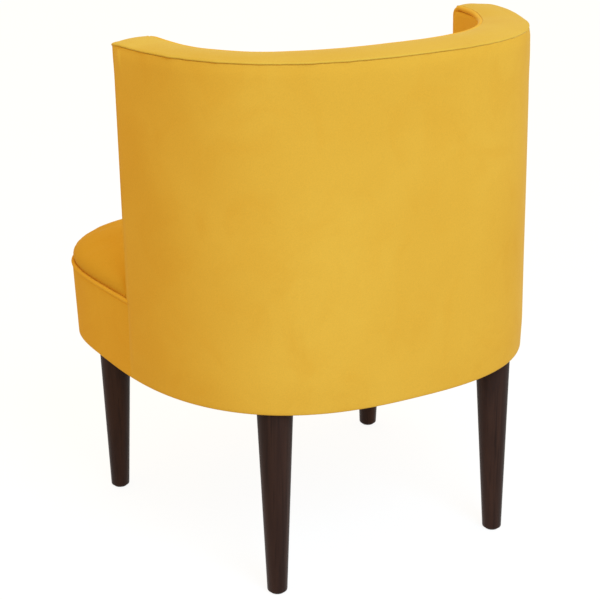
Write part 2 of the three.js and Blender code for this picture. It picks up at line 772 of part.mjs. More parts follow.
// The foam's top has the shape of the cover's underside, a little lower
function seatFoam() {
  const dome = domeRings(seatEdgeDepth, coverThickness).map((ring) => ring.map(
    (point) => point.clone().setZ(point.z - 2 * clearance),
  ));
  const sole = seatBoundary(railDepth).map((pointAt) => pointAt(deckHeight, 0));
  const centre = new THREE.Vector3(seatCentre.x, seatCentre.y, deckHeight);
  return bodyFromRings([...dome, sole, [centre]], [], () => false);
}
addPiece('seat_foam', seatFoam(), colours.foam);
addPiece('seat_cover', seatCover(), colours.velvet);

// The boxing band and its wadding run round the front from arm to arm
const bandFrom = armLength + clearance / 2;
const bandTo = 2 * halfGirth - bandFrom;
const bandTop = seatWeltHeight - weltRadius - clearance;
addPiece('seat_band', board(0, coverThickness, hemHeight, bandTop, bandFrom, bandTo), colours.velvet);

// The wadding thins above the rails, where the foam of the seat comes out towards the cord
function bandWaddingSection() {
  const inner = railDepth - clearance;
  const topDepth = seatEdgeDepth + coverThickness - clearance;
  return [
    [waddingDepth, frameBottom], [inner, frameBottom], [inner, railTop], [topDepth, bandTop],
    [waddingDepth, bandTop],
  ];
}
addPiece('seat_band_wadding', strip(bandWaddingSection, bandFrom, bandTo), colours.wadding);

// Cords: a many-sided section carried along the edge
function cordRing(centre, first, second) {
  return Array.from({ length: cordSideCount }, (_, i) => {
    const turn = (2 * Math.PI * i) / cordSideCount;
    return centre.clone()
      .addScaledVector(first, weltRadius * Math.cos(turn))
      .addScaledVector(second, weltRadius * Math.sin(turn));
  });
}

function cordCaps() {
  return Array.from({ length: cordSideCount - 2 }, (_, i) => [0, i + 1, i + 2]);
}

function wayIn(place, height) {
  return wallPoint(place, height, weltRadius).sub(wallPoint(place, height, 0)).normalize();
}

const upward = new THREE.Vector3(0, 0, 1);

function seatWelt() {
  const places = placesBetween(armLength + clearance, 2 * halfGirth - armLength - clearance);
  const rings = places.map((place) => cordRing(
    wallPoint(place, seatWeltHeight, seatWeltDepth), wayIn(place, seatWeltHeight), upward,
  ));
  return bodyFromRings(rings, cordCaps());
}
addPiece('seat_welt', seatWelt(), colours.velvet);

// The inner cord climbs one arm front, follows the rim and goes down the other arm front
const weltForward = weltRadius - 2 * clearance;
const weltFoot = seatEdgeHeight + seatCrown;

function armWeltRings(side) {
  const depth = armThickness - weltInset;
  const start = armEndPoint(side, rimWeltHeight, depth, 0);
  const inward = start.clone().sub(armEndPoint(side, rimWeltHeight, 0, 0)).normalize();
  const forward = armEndPoint(side, rimWeltHeight, depth, weltBend).sub(start).normalize();
  const backward = forward.clone().negate();
  const foot = cordRing(armEndPoint(side, weltFoot, depth, weltForward), inward, backward);
  const rings = [foot];
  const bendHeight = rimWeltHeight - weltBend;
  for (let i = 0; i <= cordCornerStepCount; i += 1) {
    const turn = ((Math.PI / 2) * i) / cordCornerStepCount;
    const along = weltForward - weltBend * (1 - Math.cos(turn));
    const centre = armEndPoint(side, bendHeight, depth, along);
    centre.z = bendHeight + weltBend * Math.sin(turn);
    const across = backward.clone().multiplyScalar(Math.cos(turn))
      .addScaledVector(upward, -Math.sin(turn));
    rings.push(cordRing(centre, inward, across));
  }
  return rings;
}

function innerWelt() {
  const down = upward.clone().negate();
  const alongRim = placesBetween(-armLength, armLength).slice(1, -1).map((place) => cordRing(
    wallPoint(place, rimWeltHeight, thicknessAt(place) - weltInset), wayIn(place, rimWeltHeight), down,
  ));
  return bodyFromRings([...armWeltRings(-1), ...alongRim, ...armWeltRings(1).reverse()], cordCaps());
}
addPiece('inner_welt', innerWelt(), colours.velvet);

// The whole chair is moved so that the middle of its plan is at the origin
const frontmost = seatFrontReach + seatFlare + weltRadius - seatWeltDepth;
chair.position.y = (frontmost - hemBackReach) / 2;

export default chair;
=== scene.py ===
"""A slipper chair with a barrel back, covered in mustard velvet, on four turned legs.

Every piece is in metres, +Z up, with the front of the seat facing -Y and the floor at z = 0.
"""

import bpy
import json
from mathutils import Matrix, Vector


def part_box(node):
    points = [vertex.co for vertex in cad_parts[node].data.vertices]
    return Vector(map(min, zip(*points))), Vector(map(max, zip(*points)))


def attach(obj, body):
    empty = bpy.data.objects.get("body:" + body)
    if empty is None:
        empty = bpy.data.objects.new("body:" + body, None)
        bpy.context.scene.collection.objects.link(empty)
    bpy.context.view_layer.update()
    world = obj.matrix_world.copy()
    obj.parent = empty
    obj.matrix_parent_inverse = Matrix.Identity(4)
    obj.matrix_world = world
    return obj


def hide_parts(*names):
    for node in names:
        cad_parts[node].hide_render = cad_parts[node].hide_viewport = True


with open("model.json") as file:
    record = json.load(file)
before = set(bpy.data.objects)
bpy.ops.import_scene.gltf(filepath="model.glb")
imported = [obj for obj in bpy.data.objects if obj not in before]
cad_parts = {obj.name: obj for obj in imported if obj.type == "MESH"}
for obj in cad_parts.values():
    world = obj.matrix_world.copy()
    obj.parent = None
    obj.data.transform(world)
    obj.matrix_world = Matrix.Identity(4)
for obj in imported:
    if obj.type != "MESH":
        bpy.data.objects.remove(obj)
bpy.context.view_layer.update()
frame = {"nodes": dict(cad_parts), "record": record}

import json
import math
from bisect import bisect_left

import bpy
from bpy.props import FloatProperty, FloatVectorProperty, IntProperty, PointerProperty
from mathutils import kdtree, Matrix, Vector, noise

bl_info = {
    "name": "Slipper Chair",
    "version": (1, 0, 0),
    "blender": (4, 5, 0),
    "location": "View3D > Sidebar > Slipper Chair",
    "description": "Builds the velvet covers, cords and legs of a slipper chair on its frame",
    "category": "Add Mesh",
}

SIDES = {"right": 1, "left": -1}
CORNERS = ["front_left", "front_right", "rear_left", "rear_right"]
UP = Vector((0, 0, 1))

# Sizes that several pieces share, in metres.
UNDER_SEAT = 0.0945  # from the hem up to the top of the seat rails
SIDE_GAP = 0.0008  # between the seat and the padding of the arms and back
HEM_BEND = 0.0070  # from a cover's lower edge up to where it hangs straight
SEAM_PULLS = 58  # small pulls along a sewn seam, in waves of noise to a metre
CROWN_POWER = 2.6  # how late the seat's crown falls away on its way out

# Shading angles, in degrees.
ALL_ROUND = 180
SEWN_CORD = 80
CUT_EDGES = 60
TURNED_WOOD = 30


def number(label, default, description):
    """A plain number property."""
    return FloatProperty(name=label, default=default, description=description)


def length(label, default, description):
    """A length property in metres."""
    return FloatProperty(name=label, default=default, description=description, unit="LENGTH", precision=4)


def position(label, default, description):
    """A place property in metres."""
    return FloatVectorProperty(
        name=label, default=default, description=description, subtype="TRANSLATION", unit="LENGTH"
    )


def colour(label, default, description):
    """A colour property."""
    return FloatVectorProperty(
        name=label, default=default, description=description, subtype="COLOR", size=3, min=0, max=1
    )


class ChairOutline(bpy.types.PropertyGroup):
    """Plan and heights of the upholstered body."""

    hem_half_width: length("Half width", 0.3317, "Half the width of the body at its hem")
    hem_back_reach: length("Back reach", 0.3571, "From the widest line back to the hem")
    front_reach: length("Front reach", 0.2317, "From the widest line forward to the hem")
    rim_inset: length("Rim inset", 0.0005, "How far the sides lean in up to the rim")
    rim_back_inset: length("Rim back inset", 0.0198, "How far the back leans in up to the rim")
    back_power: number("Back roundness", 2.58, "Squareness of the rear half")
    front_power: number("Front roundness", 4.1, "Squareness of the front half")
    arm_front: length("Arm front", 0.0735, "How far behind the widest line the arms stop")
    arm_rake: length("Arm rake", 0.0143, "How far the arm fronts lean forward at the rim")
    rake_run: length("Rake run", 0.180, "Length of wall over which the lean dies out")
    flare: length("Seat flare", 0.0056, "How far the seat's band widens up to its cord")
    flare_run: length("Flare run", 0.150, "Length of band over which the flare grows")
    shift: length("Shift", -0.059475, "Moves the widest line to its place on the floor plan")
    hem_height: length("Hem height", 0.296, "Lower edge of the covers")
    rim_height: length("Rim height", 0.800, "Seam between the outside back and the rim")
    rim_crown: length("Rim crown", 0.005, "Rise of the rim's top above its seam")
    cord_height: length("Seat cord height", 0.417, "Middle of the cord round the seat")
    seat_crown: length("Seat crown", 0.063, "Rise of the seat above its edge")
    crown_round: number("Crown roundness", 0.32, "Lower values fill the seat's edge")
    arm_thickness: length("Arm thickness", 0.0644, "Thickness of the arms")
    back_thickness: length("Back thickness", 0.0776, "Thickness of the back")
    cord_radius: length("Cord radius", 0.0035, "Radius of the covered cord round the seat")
    corner_pull: length("Corner pull", 0.0016, "How far forward the top corner of the right arm stands")
    rim_cord_radius: length("Rim cord radius", 0.0040, "Radius of the covered cord inside the rim")


class ChairCloth(bpy.types.PropertyGroup):
    """How the cloth pieces are cut, filled and coloured."""

    mesh_step: length("Mesh step", 0.006, "Distance between the points of a cover")
    cover_thickness: length("Cover thickness", 0.0014, "Thickness of the velvet")
    lining_thickness: length("Lining thickness", 0.0006, "Thickness of the dust cloth")
    seat_bulge: length("Seat bulge", 0.0026, "How far the seat stands out above its cord")
    unevenness: length("Unevenness", 0.0006, "How far the outside cover wanders in and out")
    fullness: length("Fullness", 0.0016, "How far the outside cover stands out between its seams")
    arm_bulge: length("Right arm bulge", 0.005, "How far the right arm front stands out in the middle")
    left_arm_bulge: length("Left arm bulge", 0.002, "How far the left arm front stands out in the middle")
    pressure: number("Pressure", 4.0, "Air pressure that fills the pads")
    seat_swell: length("Seat swell", 0.0035, "Most that a point of the seat may move when it fills")
    back_swell: length("Back swell", 0.005, "Most that a point of the inside back may move")
    rim_swell: length("Rim swell", 0.0010, "Most that a point of the rim may move")
    arm_swell: length("Arm swell", 0.0015, "Most that a point of an arm front may move")
    velvet: colour("Velvet", (0.785, 0.460, 0.054), "Main colour of the velvet")
    velvet_shade: colour("Brushed velvet", (0.745, 0.415, 0.043), "Colour where the pile lies the other way")
    velvet_stroked: colour("Stroked velvet", (0.72, 0.36, 0.028), "Colour of faint marks left by a hand")
    velvet_sheen: colour("Velvet sheen", (1.0, 0.98, 0.56), "Colour of the sheen on the pile")
    lining: colour("Lining", (0.012, 0.012, 0.013), "Colour of the dust cloth")


class ChairWood(bpy.types.PropertyGroup):
    """Turned legs and the timber of the frame."""

    top_radius: length("Leg top radius", 0.0271, "Radius of a leg under the seat")
    foot_radius: length("Leg foot radius", 0.0151, "Radius of a leg at its foot")
    foot_round: length("Foot rounding", 0.0025, "Rounding of the foot's edge")
    top_round: length("Top rounding", 0.0008, "Rounding of a leg's top edge")
    splay: length("Rear leg splay", 0.0038, "How far a rear leg leans out sideways")
    rake: length("Rear leg rake", 0.0115, "How far a rear leg leans back")
    facets: IntProperty(name="Leg facets", default=56, description="Sides of a turned leg")
    stain: colour("Leg stain", (0.0245, 0.0102, 0.0072), "Colour of the stained legs")
    stain_light: colour("Leg stain, worn", (0.054, 0.024, 0.016), "Colour of the legs' lighter grain")
    timber: colour("Frame timber", (0.57, 0.39, 0.20), "Colour of the bare frame")


class ChairStage(bpy.types.PropertyGroup):
    """Camera, lamps and floor."""

    camera_azimuth: number("Camera azimuth", 149.299, "Degrees round the chair")
    camera_elevation: number("Camera elevation", 19.830, "Degrees above level")
    camera_place: position("Camera place", (1.2711, 2.0997, 1.2415), "Where the camera stands")
    camera_lens: number("Camera lens", 97.70, "Focal length in millimetres")
    key_place: position("Key place", (0.285, 3.252, 3.093), "Where the main lamp hangs")
    key_size: length("Key size", 2.4, "Width of the main lamp")
    key_power: number("Key lamp", 141.0, "Power of the main lamp in watts")
    key_colour: colour("Key colour", (0.29, 0.585, 1.0), "Colour of the main lamp")
    ambient: number("Ambient", 0.945, "Strength of the light from all round")
    ambient_colour: colour("Ambient colour", (1.0, 0.745, 0.34), "Colour of the light from all round")
    floor_radius: length("Floor radius", 30.0, "How far the floor reaches")
    floor_level: length("Floor level", -0.0002, "Height of the floor, just under the feet")
    floor_grey: number("Floor grey", 0.62, "How light the floor is where it lights the chair")
    floor_shadow: number("Floor shadow", 0.13, "How strongly the chair's shadow shows on the floor")
    floor_glow: number("Floor glow", 0.92, "How white the floor shows round the shadow")


# Selecting and finishing


def deselect():
    """Nothing is selected or active for editing afterwards."""
    if bpy.context.object and bpy.context.object.mode != "OBJECT":
        bpy.ops.object.mode_set(mode="OBJECT")
    bpy.ops.object.select_all(action="DESELECT")


def take(piece):
    """Make a piece the only selected one."""
    deselect()
    piece.select_set(True)
    bpy.context.view_layer.objects.active = piece


def edit_points(piece, chosen):
    """Go into edit mode with the points that pass a test selected."""
    take(piece)
    mesh = piece.data
    for part in (mesh.polygons, mesh.edges, mesh.vertices):
        part.foreach_set("select", [False] * len(part))
    for vertex in mesh.vertices:
        vertex.select = chosen(vertex)
    bpy.ops.object.mode_set(mode="EDIT")
    bpy.ops.mesh.select_mode(type="VERT")


def leave_edit():
    """Back to object mode."""
    bpy.ops.object.mode_set(mode="OBJECT")


def edit_all(piece):
    """Go into edit mode with every point selected."""
    edit_points(piece, lambda vertex: True)


def face_towards(piece, spot, way):
    """Turn every face over if the one nearest to a spot looks away from the wanted way."""
    nearest = min(piece.data.polygons, key=lambda face: (face.center - spot).length)
    if nearest.normal.dot(way) < 0:
        edit_all(piece)
        bpy.ops.mesh.flip_normals()
        leave_edit()


def bevel_points(piece, chosen, offset, segments):
    """Round the edges between the points that pass a test."""
    edit_points(piece, chosen)
    bpy.ops.mesh.bevel(offset=offset, segments=segments, affect="EDGES")
    leave_edit()


def add_modifier(piece, kind):
    """Add a modifier to a piece and return it."""
    take(piece)
    bpy.ops.object.modifier_add(type=kind)
    return piece.modifiers[-1]


def apply_all(piece):
    """Apply every modifier of a piece."""
    take(piece)
    for name in [modifier.name for modifier in piece.modifiers]:
        bpy.ops.object.modifier_apply(modifier=name)


def smooth(piece, angle):
    """Shade smoothly, with hard edges only where the shape turns sharply."""
    take(piece)
    bpy.ops.object.shade_smooth_by_angle(angle=math.radians(angle))


def settle(piece, material, nodes):
    """Give a finished piece its material and its body, and hide the nodes of the frame that it stands for."""
    piece.data.materials.clear()
    piece.data.materials.append(material)
    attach(piece, "root")
    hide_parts(*nodes)
    deselect()


# The body's outline


def ease(value, start, end):
    """A smooth step from 0 at start to 1 at end."""
    share = min(max((value - start) / (end - start), 0), 1)
    return share * share * (3 - 2 * share)


class Column:
    """One upright line of the body: the hem, the rim and the way into the wall."""

    def __init__(self, outline, side, hem, rim, inward, thickness):
        self.side = side
        self.hem = hem
        self.rim = rim
        self.inward = inward
        self.thickness = thickness
        self.low = outline.hem_height
        self.high = outline.rim_height
        self.shift = outline.shift

    def at(self, height, depth, forward=0.0):
        """Point at a height, a depth into the wall, and a distance forward along it."""
        rise = (height - self.low) / (self.high - self.low)
        x = self.hem[0] + (self.rim[0] - self.hem[0]) * rise
        y = self.hem[1] + (self.rim[1] - self.hem[1]) * rise
        x += self.inward[0] * depth - self.inward[1] * forward
        y += self.inward[1] * depth + self.inward[0] * forward
        return Vector((self.side * x, y + self.shift, height))


class Plan:
    """The outline from hem to rim. A place is a length along the hem from the middle of the back,
    positive towards +X, and on round the front of the seat."""

    def __init__(self, sizes):
        for name in ChairOutline.__annotations__:
            setattr(self, name, getattr(sizes, name))
        steps = 3200
        self.angles = [math.pi * i / steps for i in range(steps + 1)]
        self.lengths = [0.0]
        last = self.hem_point(0)
        for angle in self.angles[1:]:
            point = self.hem_point(angle)
            self.lengths.append(self.lengths[-1] + math.dist(point, last))
            last = point
        self.half_girth = self.lengths[-1]
        self.arm_end = next(
            place for place, angle in zip(self.lengths, self.angles)
            if self.hem_point(angle)[1] < self.arm_front
        )

    def ring_point(self, angle, half_width, back_reach):
        """Point of a closed curve: a rounded back half and a squarer front half."""
        behind = math.cos(angle) >= 0
        power = 2 / (self.back_power if behind else self.front_power)
        reach = back_reach if behind else -self.front_reach
        return (
            half_width * abs(math.sin(angle)) ** power,
            reach * abs(math.cos(angle)) ** power,
        )

    def hem_point(self, angle):
        """Point of the hem."""
        return self.ring_point(angle, self.hem_half_width, self.hem_back_reach)

    def angle_at(self, place):
        """Angle of the curve at a length along the hem."""
        i = min(max(bisect_left(self.lengths, place), 1), len(self.lengths) - 1)
        low, high = self.lengths[i - 1], self.lengths[i]
        share = (place - low) / (high - low)
        return self.angles[i - 1] + share * (self.angles[i] - self.angles[i - 1])

    def column(self, place):
        """The upright line at a place."""
        side = -1 if place < 0 or place > self.half_girth else 1
        place = min(abs(place), 2 * self.half_girth - abs(place))
        hem = self.hem_point(self.angle_at(place))
        behind = hem[1] >= 0
        power = (self.back_power if behind else self.front_power) - 1
        reach = self.hem_back_reach if behind else -self.front_reach
        inward = Vector((
            -((hem[0] / self.hem_half_width) ** power) / self.hem_half_width,
            -((hem[1] / reach) ** power) / reach,
        )).normalized()
        if place <= self.arm_end:
            lean = self.arm_rake * (1 - ease(self.arm_end - place, 0, self.rake_run))
            rim = self.ring_point(
                self.angle_at(place + lean), self.hem_half_width - self.rim_inset,
                self.hem_back_reach - self.rim_back_inset,
            )
        else:
            flare = self.flare * ease(place, self.arm_end, self.arm_end + self.flare_run)
            out = flare * (self.rim_height - self.hem_height) / (self.cord_height - self.hem_height)
            rim = (
                hem[0] * (1 - self.rim_inset / self.hem_half_width) - inward[0] * out,
                hem[1] - inward[1] * out,
            )
        towards_back = ease(hem[1] / self.hem_back_reach, 0.2, 0.75)
        thickness = self.arm_thickness + (self.back_thickness - self.arm_thickness) * towards_back
        return Column(self, side, hem, rim, inward, thickness)


def seam_drop(place):
    """How much lower the hand-stuffed rim's outer seam lies at a place on its left half."""
    on_back, on_arm = 0.0014, 0.0026
    return on_back * ease(-place, 0.05, 0.36) + on_arm * ease(-place, 0.44, 0.64)


def inner_lift(outline, place):
    """How much higher or lower the rim's inner edge lies at a place."""
    left_drop, right_peak, right_dip = 0.0014, 0.0030, 0.0016
    to_end = outline.arm_end - abs(place)
    if place < 0:
        return -left_drop * (1 - ease(to_end, 0.03, 0.10))
    peak = right_peak * (1 - ease(to_end, 0.010, 0.085))
    return peak - right_dip * ease(to_end, 0.06, 0.12) * (1 - ease(to_end, 0.20, 0.35))


def end_lift(outline, place):
    """How the rim's whole top dips at its ends and stands up on the left shoulder."""
    right_dip, left_dip, shoulder = 0.0010, 0.0004, 0.0016
    bend, bend_width, bend_dip = -0.37, 0.05, 0.0014
    to_end = outline.arm_end - abs(place)
    from_end = ease(to_end, 0, 0.02)
    if place > 0:
        return -right_dip * (1 - from_end)
    stand = shoulder * from_end * (1 - ease(to_end, 0.06, 0.13))
    dip = bend_dip * math.exp(-(((place - bend) / bend_width) ** 2))
    return stand - dip - left_dip * (1 - from_end)


def corner_pull(outline, place, below):
    """How far forward the top corner of the right arm is pulled, at a distance below the rim."""
    return outline.corner_pull * (1 - ease(below, 0.012, 0.045)) if place > 0 else 0.0


def curl(place):
    """How far the rim rolls over its outer seam: 1 where it is plump, 0 where it slopes down to it."""
    return ease(place, -0.34, 0.12)


def plan():
    """The outline with the sizes of this scene."""
    return Plan(bpy.context.scene.chair_outline)


def spaced(start, end, step, near=()):
    """Evenly spaced values, with closer ones at the given distances from either end."""
    margin = near[-1] if near else 0
    inner_start, inner_end = start + margin, end - margin
    count = max(round(abs(inner_end - inner_start) / step), 1)
    middle = [inner_start + (inner_end - inner_start) * i / count for i in range(count + 1)]
    if not near:
        return middle
    first = [start] + [start + distance for distance in near[:-1]]
    last = [end - distance for distance in reversed(near[:-1])] + [end]
    return first + middle + last


# Cloth forms


def laid_cloth(name, rows, closed=False):
    """A grid primitive whose rows are laid along rows of points; closed rows come back to their start."""
    width = len(rows[0])
    columns = width + (1 if closed else 0)
    deselect()
    bpy.ops.mesh.primitive_grid_add(x_subdivisions=columns - 1, y_subdivisions=len(rows) - 1, size=1)
    piece = bpy.context.object
    piece.name = name
    piece.data.name = name
    for vertex in piece.data.vertices:
        i = round((vertex.co.y + 0.5) * (len(rows) - 1))
        j = round((vertex.co.x + 0.5) * (columns - 1))
        vertex.co = rows[i][j % width]
    across = sum((rows[0][i] - rows[0][i - 1]).length for i in range(1, width))
    along = sum((rows[i][0] - rows[i - 1][0]).length for i in range(1, len(rows)))
    for corner in piece.data.uv_layers.active.data:
        corner.uv = (corner.uv[0] * max(across, 0.01), corner.uv[1] * max(along, 0.01))
    return piece


def close_form(piece, ends=()):
    """Sew the edges of a form together, cap its end rings and turn its faces outwards."""
    edit_all(piece)
    bpy.ops.mesh.remove_doubles(threshold=0.00001)
    leave_edit()
    for ring in ends:
        places = {point.to_tuple(5) for point in ring}
        edit_points(piece, lambda vertex: vertex.co.to_tuple(5) in places)
        bpy.ops.mesh.edge_face_add()
        leave_edit()
    edit_all(piece)
    bpy.ops.mesh.normals_make_consistent(inside=False)
    leave_edit()
    return piece


def stuffed_form(name, rows):
    """A closed form from closed rows, capped at both ends."""
    piece = laid_cloth(name, rows, closed=True)
    return close_form(piece, [rows[0], rows[-1]])


def thicken(piece, thickness):
    """Give a sheet its thickness, inwards from the side that shows."""
    modifier = add_modifier(piece, "SOLIDIFY")
    modifier.thickness = thickness
    modifier.offset = -1
    apply_all(piece)


# How the velvet behaves as cloth while it fills with air.
CLOTH_SETTINGS = {
    "quality": 4, "mass": 0.3, "tension_stiffness": 20, "compression_stiffness": 20, "shear_stiffness": 10,
    "bending_stiffness": 4, "air_damping": 3, "use_pressure": True, "pin_stiffness": 5,
}
FILL_STEPS = 20


def fill_out(piece, hold, most):
    """Fill a closed form with air as cloth, held where it is sewn; no point moves farther than the cap."""
    scene = bpy.context.scene
    take(piece)
    group = piece.vertex_groups.new(name="sewn")
    for vertex in piece.data.vertices:
        weight = hold(vertex.co)
        if weight > 0:
            group.add([vertex.index], weight, "REPLACE")
    before = [vertex.co.copy() for vertex in piece.data.vertices]
    cloth = add_modifier(piece, "CLOTH")
    for name, value in CLOTH_SETTINGS.items():
        setattr(cloth.settings, name, value)
    cloth.settings.uniform_pressure_force = scene.chair_cloth.pressure
    cloth.settings.effector_weights.gravity = 0
    cloth.settings.vertex_group_mass = group.name
    cloth.collision_settings.use_collision = False
    cloth.point_cache.frame_start = 1
    cloth.point_cache.frame_end = FILL_STEPS
    for step in range(1, FILL_STEPS + 1):
        scene.frame_set(step)
    apply_all(piece)
    scene.frame_set(1)
    farthest = max((vertex.co - start).length for vertex, start in zip(piece.data.vertices, before))
    share = min(1, most / max(farthest, most / 100))
    for vertex, start in zip(piece.data.vertices, before):
        vertex.co = start.lerp(vertex.co, share)
    take(piece)
    bpy.ops.object.vertex_group_remove(all=True)


def refine(piece):
    """One even subdivision of a filled form."""
    modifier = add_modifier(piece, "SUBSURF")
    modifier.levels = 1
    modifier.render_levels = 1
    apply_all(piece)


# Materials


# For each part of the cover: the strength of its sheen, the shares of red, green and blue that it shows, and
# whether it darkens towards its lower edge. The shares are painted light and shade: the rim paler as if lit
# from above, the inside lifted with painted light, the band and the seat more orange and darker as painted
# shade; the darkening is painted shade.
VELVET_SHEEN_AND_PAINTED_LIGHT = {
    "covers": (0.27, (1.0, 1.0, 1.0), False),
    "inside": (0.20, (1.07, 1.10, 1.10), False),
    "rim": (0.34, (0.94, 1.07, 1.40), False),
    "seat": (0.08, (0.96, 0.98, 0.96), True),
    "band": (0.08, (1.02, 0.97, 0.80), False),
}
# Shares of the brushed velvet's colour for the painted shade on the seat's lower sides.
LOW_SHADE = (0.90, 0.84, 0.6)

# A first and a second colour for each plain finish, and the way its grain is stretched.
BOARD = (0.34, 0.20, 0.10), (0.26, 0.15, 0.08)
FOAM = (0.87, 0.79, 0.58), (0.78, 0.68, 0.45)
WADDING = (0.91, 0.90, 0.86), (0.82, 0.81, 0.77)
WEBBING = (0.50, 0.38, 0.20), (0.30, 0.20, 0.09)
STEEL = (0.50, 0.51, 0.53), (0.62, 0.63, 0.64)
NYLON = (0.035, 0.032, 0.030), (0.07, 0.066, 0.06)
UPRIGHT_GRAIN, NO_GRAIN = (1, 1, 0.15), (1, 1, 1)


def tinted(dye, shares):
    """A colour with its red, green and blue multiplied by three shares."""
    return tuple(part * share for part, share in zip(dye, shares))


def darker(dye, share):
    """A share of a colour."""
    return tinted(dye, (share,) * 3)


def feed(tree, socket, value):
    """Set a socket from another socket, a number or a colour."""
    if isinstance(value, bpy.types.NodeSocket):
        tree.links.new(value, socket)
    elif isinstance(value, (int, float)):
        socket.default_value = value
    else:
        socket.default_value = (*value, 1)


def set_inputs(tree, node, values):
    """Set a node's inputs by name or number."""
    for name, value in values.items():
        feed(tree, node.inputs[name], value)


def add_node(tree, kind, values):
    """A new node with its inputs set."""
    node = tree.nodes.new(kind)
    set_inputs(tree, node, values)
    return node


def new_material(name):
    """A material with its node tree, its shader and the object's own coordinates."""
    material = bpy.data.materials.new(name)
    material.use_nodes = True
    tree = material.node_tree
    shader = tree.nodes["Principled BSDF"]
    place = tree.nodes.new("ShaderNodeTexCoord").outputs["Object"]
    return material, tree, shader, place


def noise_at(tree, place, scale, detail=2.0, roughness=0.5, distortion=0.0, stretch=None):
    """Noise in the object's space, stretched along an axis where the grain runs."""
    if stretch:
        mapping = add_node(tree, "ShaderNodeMapping", {"Vector": place})
        mapping.inputs["Scale"].default_value = stretch
        place = mapping.outputs["Vector"]
    values = {
        "Vector": place, "Scale": scale, "Detail": detail, "Roughness": roughness, "Distortion": distortion,
    }
    return add_node(tree, "ShaderNodeTexNoise", values).outputs["Fac"]


def spread(tree, value, low, high, out_low=0.0, out_high=1.0):
    """Map a range of values to another."""
    values = {"Value": value, "From Min": low, "From Max": high, "To Min": out_low, "To Max": out_high}
    return add_node(tree, "ShaderNodeMapRange", values).outputs["Result"]


def blend_colours(tree, share, first, second):
    """Mix two colours, each a colour or a socket."""
    node = tree.nodes.new("ShaderNodeMix")
    node.data_type = "RGBA"
    set_inputs(tree, node, {0: share, 6: first, 7: second})
    return node.outputs[2]


def raise_surface(tree, shader, heights):
    """Bumps from a list of height, strength and distance."""
    normal = None
    for height, strength, distance in heights:
        values = {"Height": height, "Strength": strength, "Distance": distance}
        bump = add_node(tree, "ShaderNodeBump", values)
        if normal:
            feed(tree, bump.inputs["Normal"], normal)
        normal = bump.outputs["Normal"]
    feed(tree, shader.inputs["Normal"], normal)


def shaded_below(tree, place, colours, dark):
    """Paint shade on the seat's sides, from a little above its cord down."""
    split = tree.nodes.new("ShaderNodeSeparateXYZ")
    tree.links.new(place, split.inputs[0])
    edge = plan().cord_height
    low = spread(tree, split.outputs["Z"], edge + 0.012, edge + 0.050, 1.0, 0.0)
    return blend_colours(tree, low, colours, dark)


def velvet_material(name, lustre, shares, shaded):
    """Short pile that lies unevenly, with a soft sheen at its edges and each part's painted light and shade.
    """
    look = bpy.context.scene.chair_cloth
    dyes = (look.velvet, look.velvet_shade, look.velvet_stroked)
    # each part's shares paint light and shade into the velvet's colours
    main, brushed, marks = [tinted(dye, shares) for dye in dyes]
    material, tree, shader, place = new_material(name)
    drift = noise_at(tree, place, 3.2, distortion=0.6)
    blotch = noise_at(tree, place, 10.0, detail=5.0, roughness=0.62, distortion=1.1, stretch=(1, 1, 0.8))
    hand = noise_at(tree, place, 17.0, detail=4.0, roughness=0.62, distortion=1.2)
    pile = noise_at(tree, place, 620.0, roughness=0.6)
    lie = blend_colours(tree, spread(tree, drift, 0.36, 0.64), brushed, main)
    rubbed = blend_colours(tree, spread(tree, hand, 0.42, 0.70, 0.0, 0.36), lie, brushed)
    stroked = blend_colours(tree, spread(tree, blotch, 0.50, 0.66, 0.0, 0.24), rubbed, marks)
    # painted shade on the seat's sides, below its crown
    if shaded:
        stroked = shaded_below(tree, place, stroked, tinted(look.velvet_shade, LOW_SHADE))
    grain = spread(tree, pile, 0.3, 0.7, 0.96, 1.04)
    bright = add_node(tree, "ShaderNodeHueSaturation", {"Color": stroked, "Value": grain})
    set_inputs(tree, shader, {
        "Base Color": bright.outputs["Color"], "Roughness": 0.82, "Specular IOR Level": 0.06,
        "Sheen Weight": lustre, "Sheen Roughness": 0.30, "Sheen Tint": look.velvet_sheen,
    })
    raise_surface(tree, shader, [(hand, 0.10, 0.002), (pile, 0.14, 0.0004)])
    return material


def leg_material(name):
    """Dark stained wood with a fine upright grain under satin lacquer."""
    look = bpy.context.scene.chair_wood
    material, tree, shader, place = new_material(name)
    figure = noise_at(tree, place, 34.0, detail=3.0, roughness=0.6, distortion=0.5, stretch=(1, 1, 0.07))
    fibre = noise_at(tree, place, 260.0, detail=3.0, roughness=0.65, stretch=(1, 1, 0.03))
    grain = blend_colours(tree, spread(tree, figure, 0.40, 0.72), look.stain, look.stain_light)
    pores = blend_colours(tree, spread(tree, fibre, 0.52, 0.66, 0.0, 0.55), grain, darker(look.stain, 0.5))
    set_inputs(tree, shader, {
        "Base Color": pores, "Roughness": spread(tree, fibre, 0.3, 0.7, 0.36, 0.50),
        "Specular IOR Level": 0.10, "Coat Weight": 0.02, "Coat Roughness": 0.28,
    })
    raise_surface(tree, shader, [(fibre, 0.18, 0.0004)])
    return material


def timber_material(name, light, dark, stretch):
    """Bare wood or board with its grain along one way."""
    material, tree, shader, place = new_material(name)
    figure = noise_at(tree, place, 22.0, detail=4.0, roughness=0.6, distortion=0.8, stretch=stretch)
    fibre = noise_at(tree, place, 240.0, roughness=0.6, stretch=stretch)
    grain = blend_colours(tree, spread(tree, figure, 0.35, 0.7), light, dark)
    set_inputs(tree, shader, {"Base Color": grain, "Roughness": 0.7})
    raise_surface(tree, shader, [(fibre, 0.25, 0.0004)])
    return material


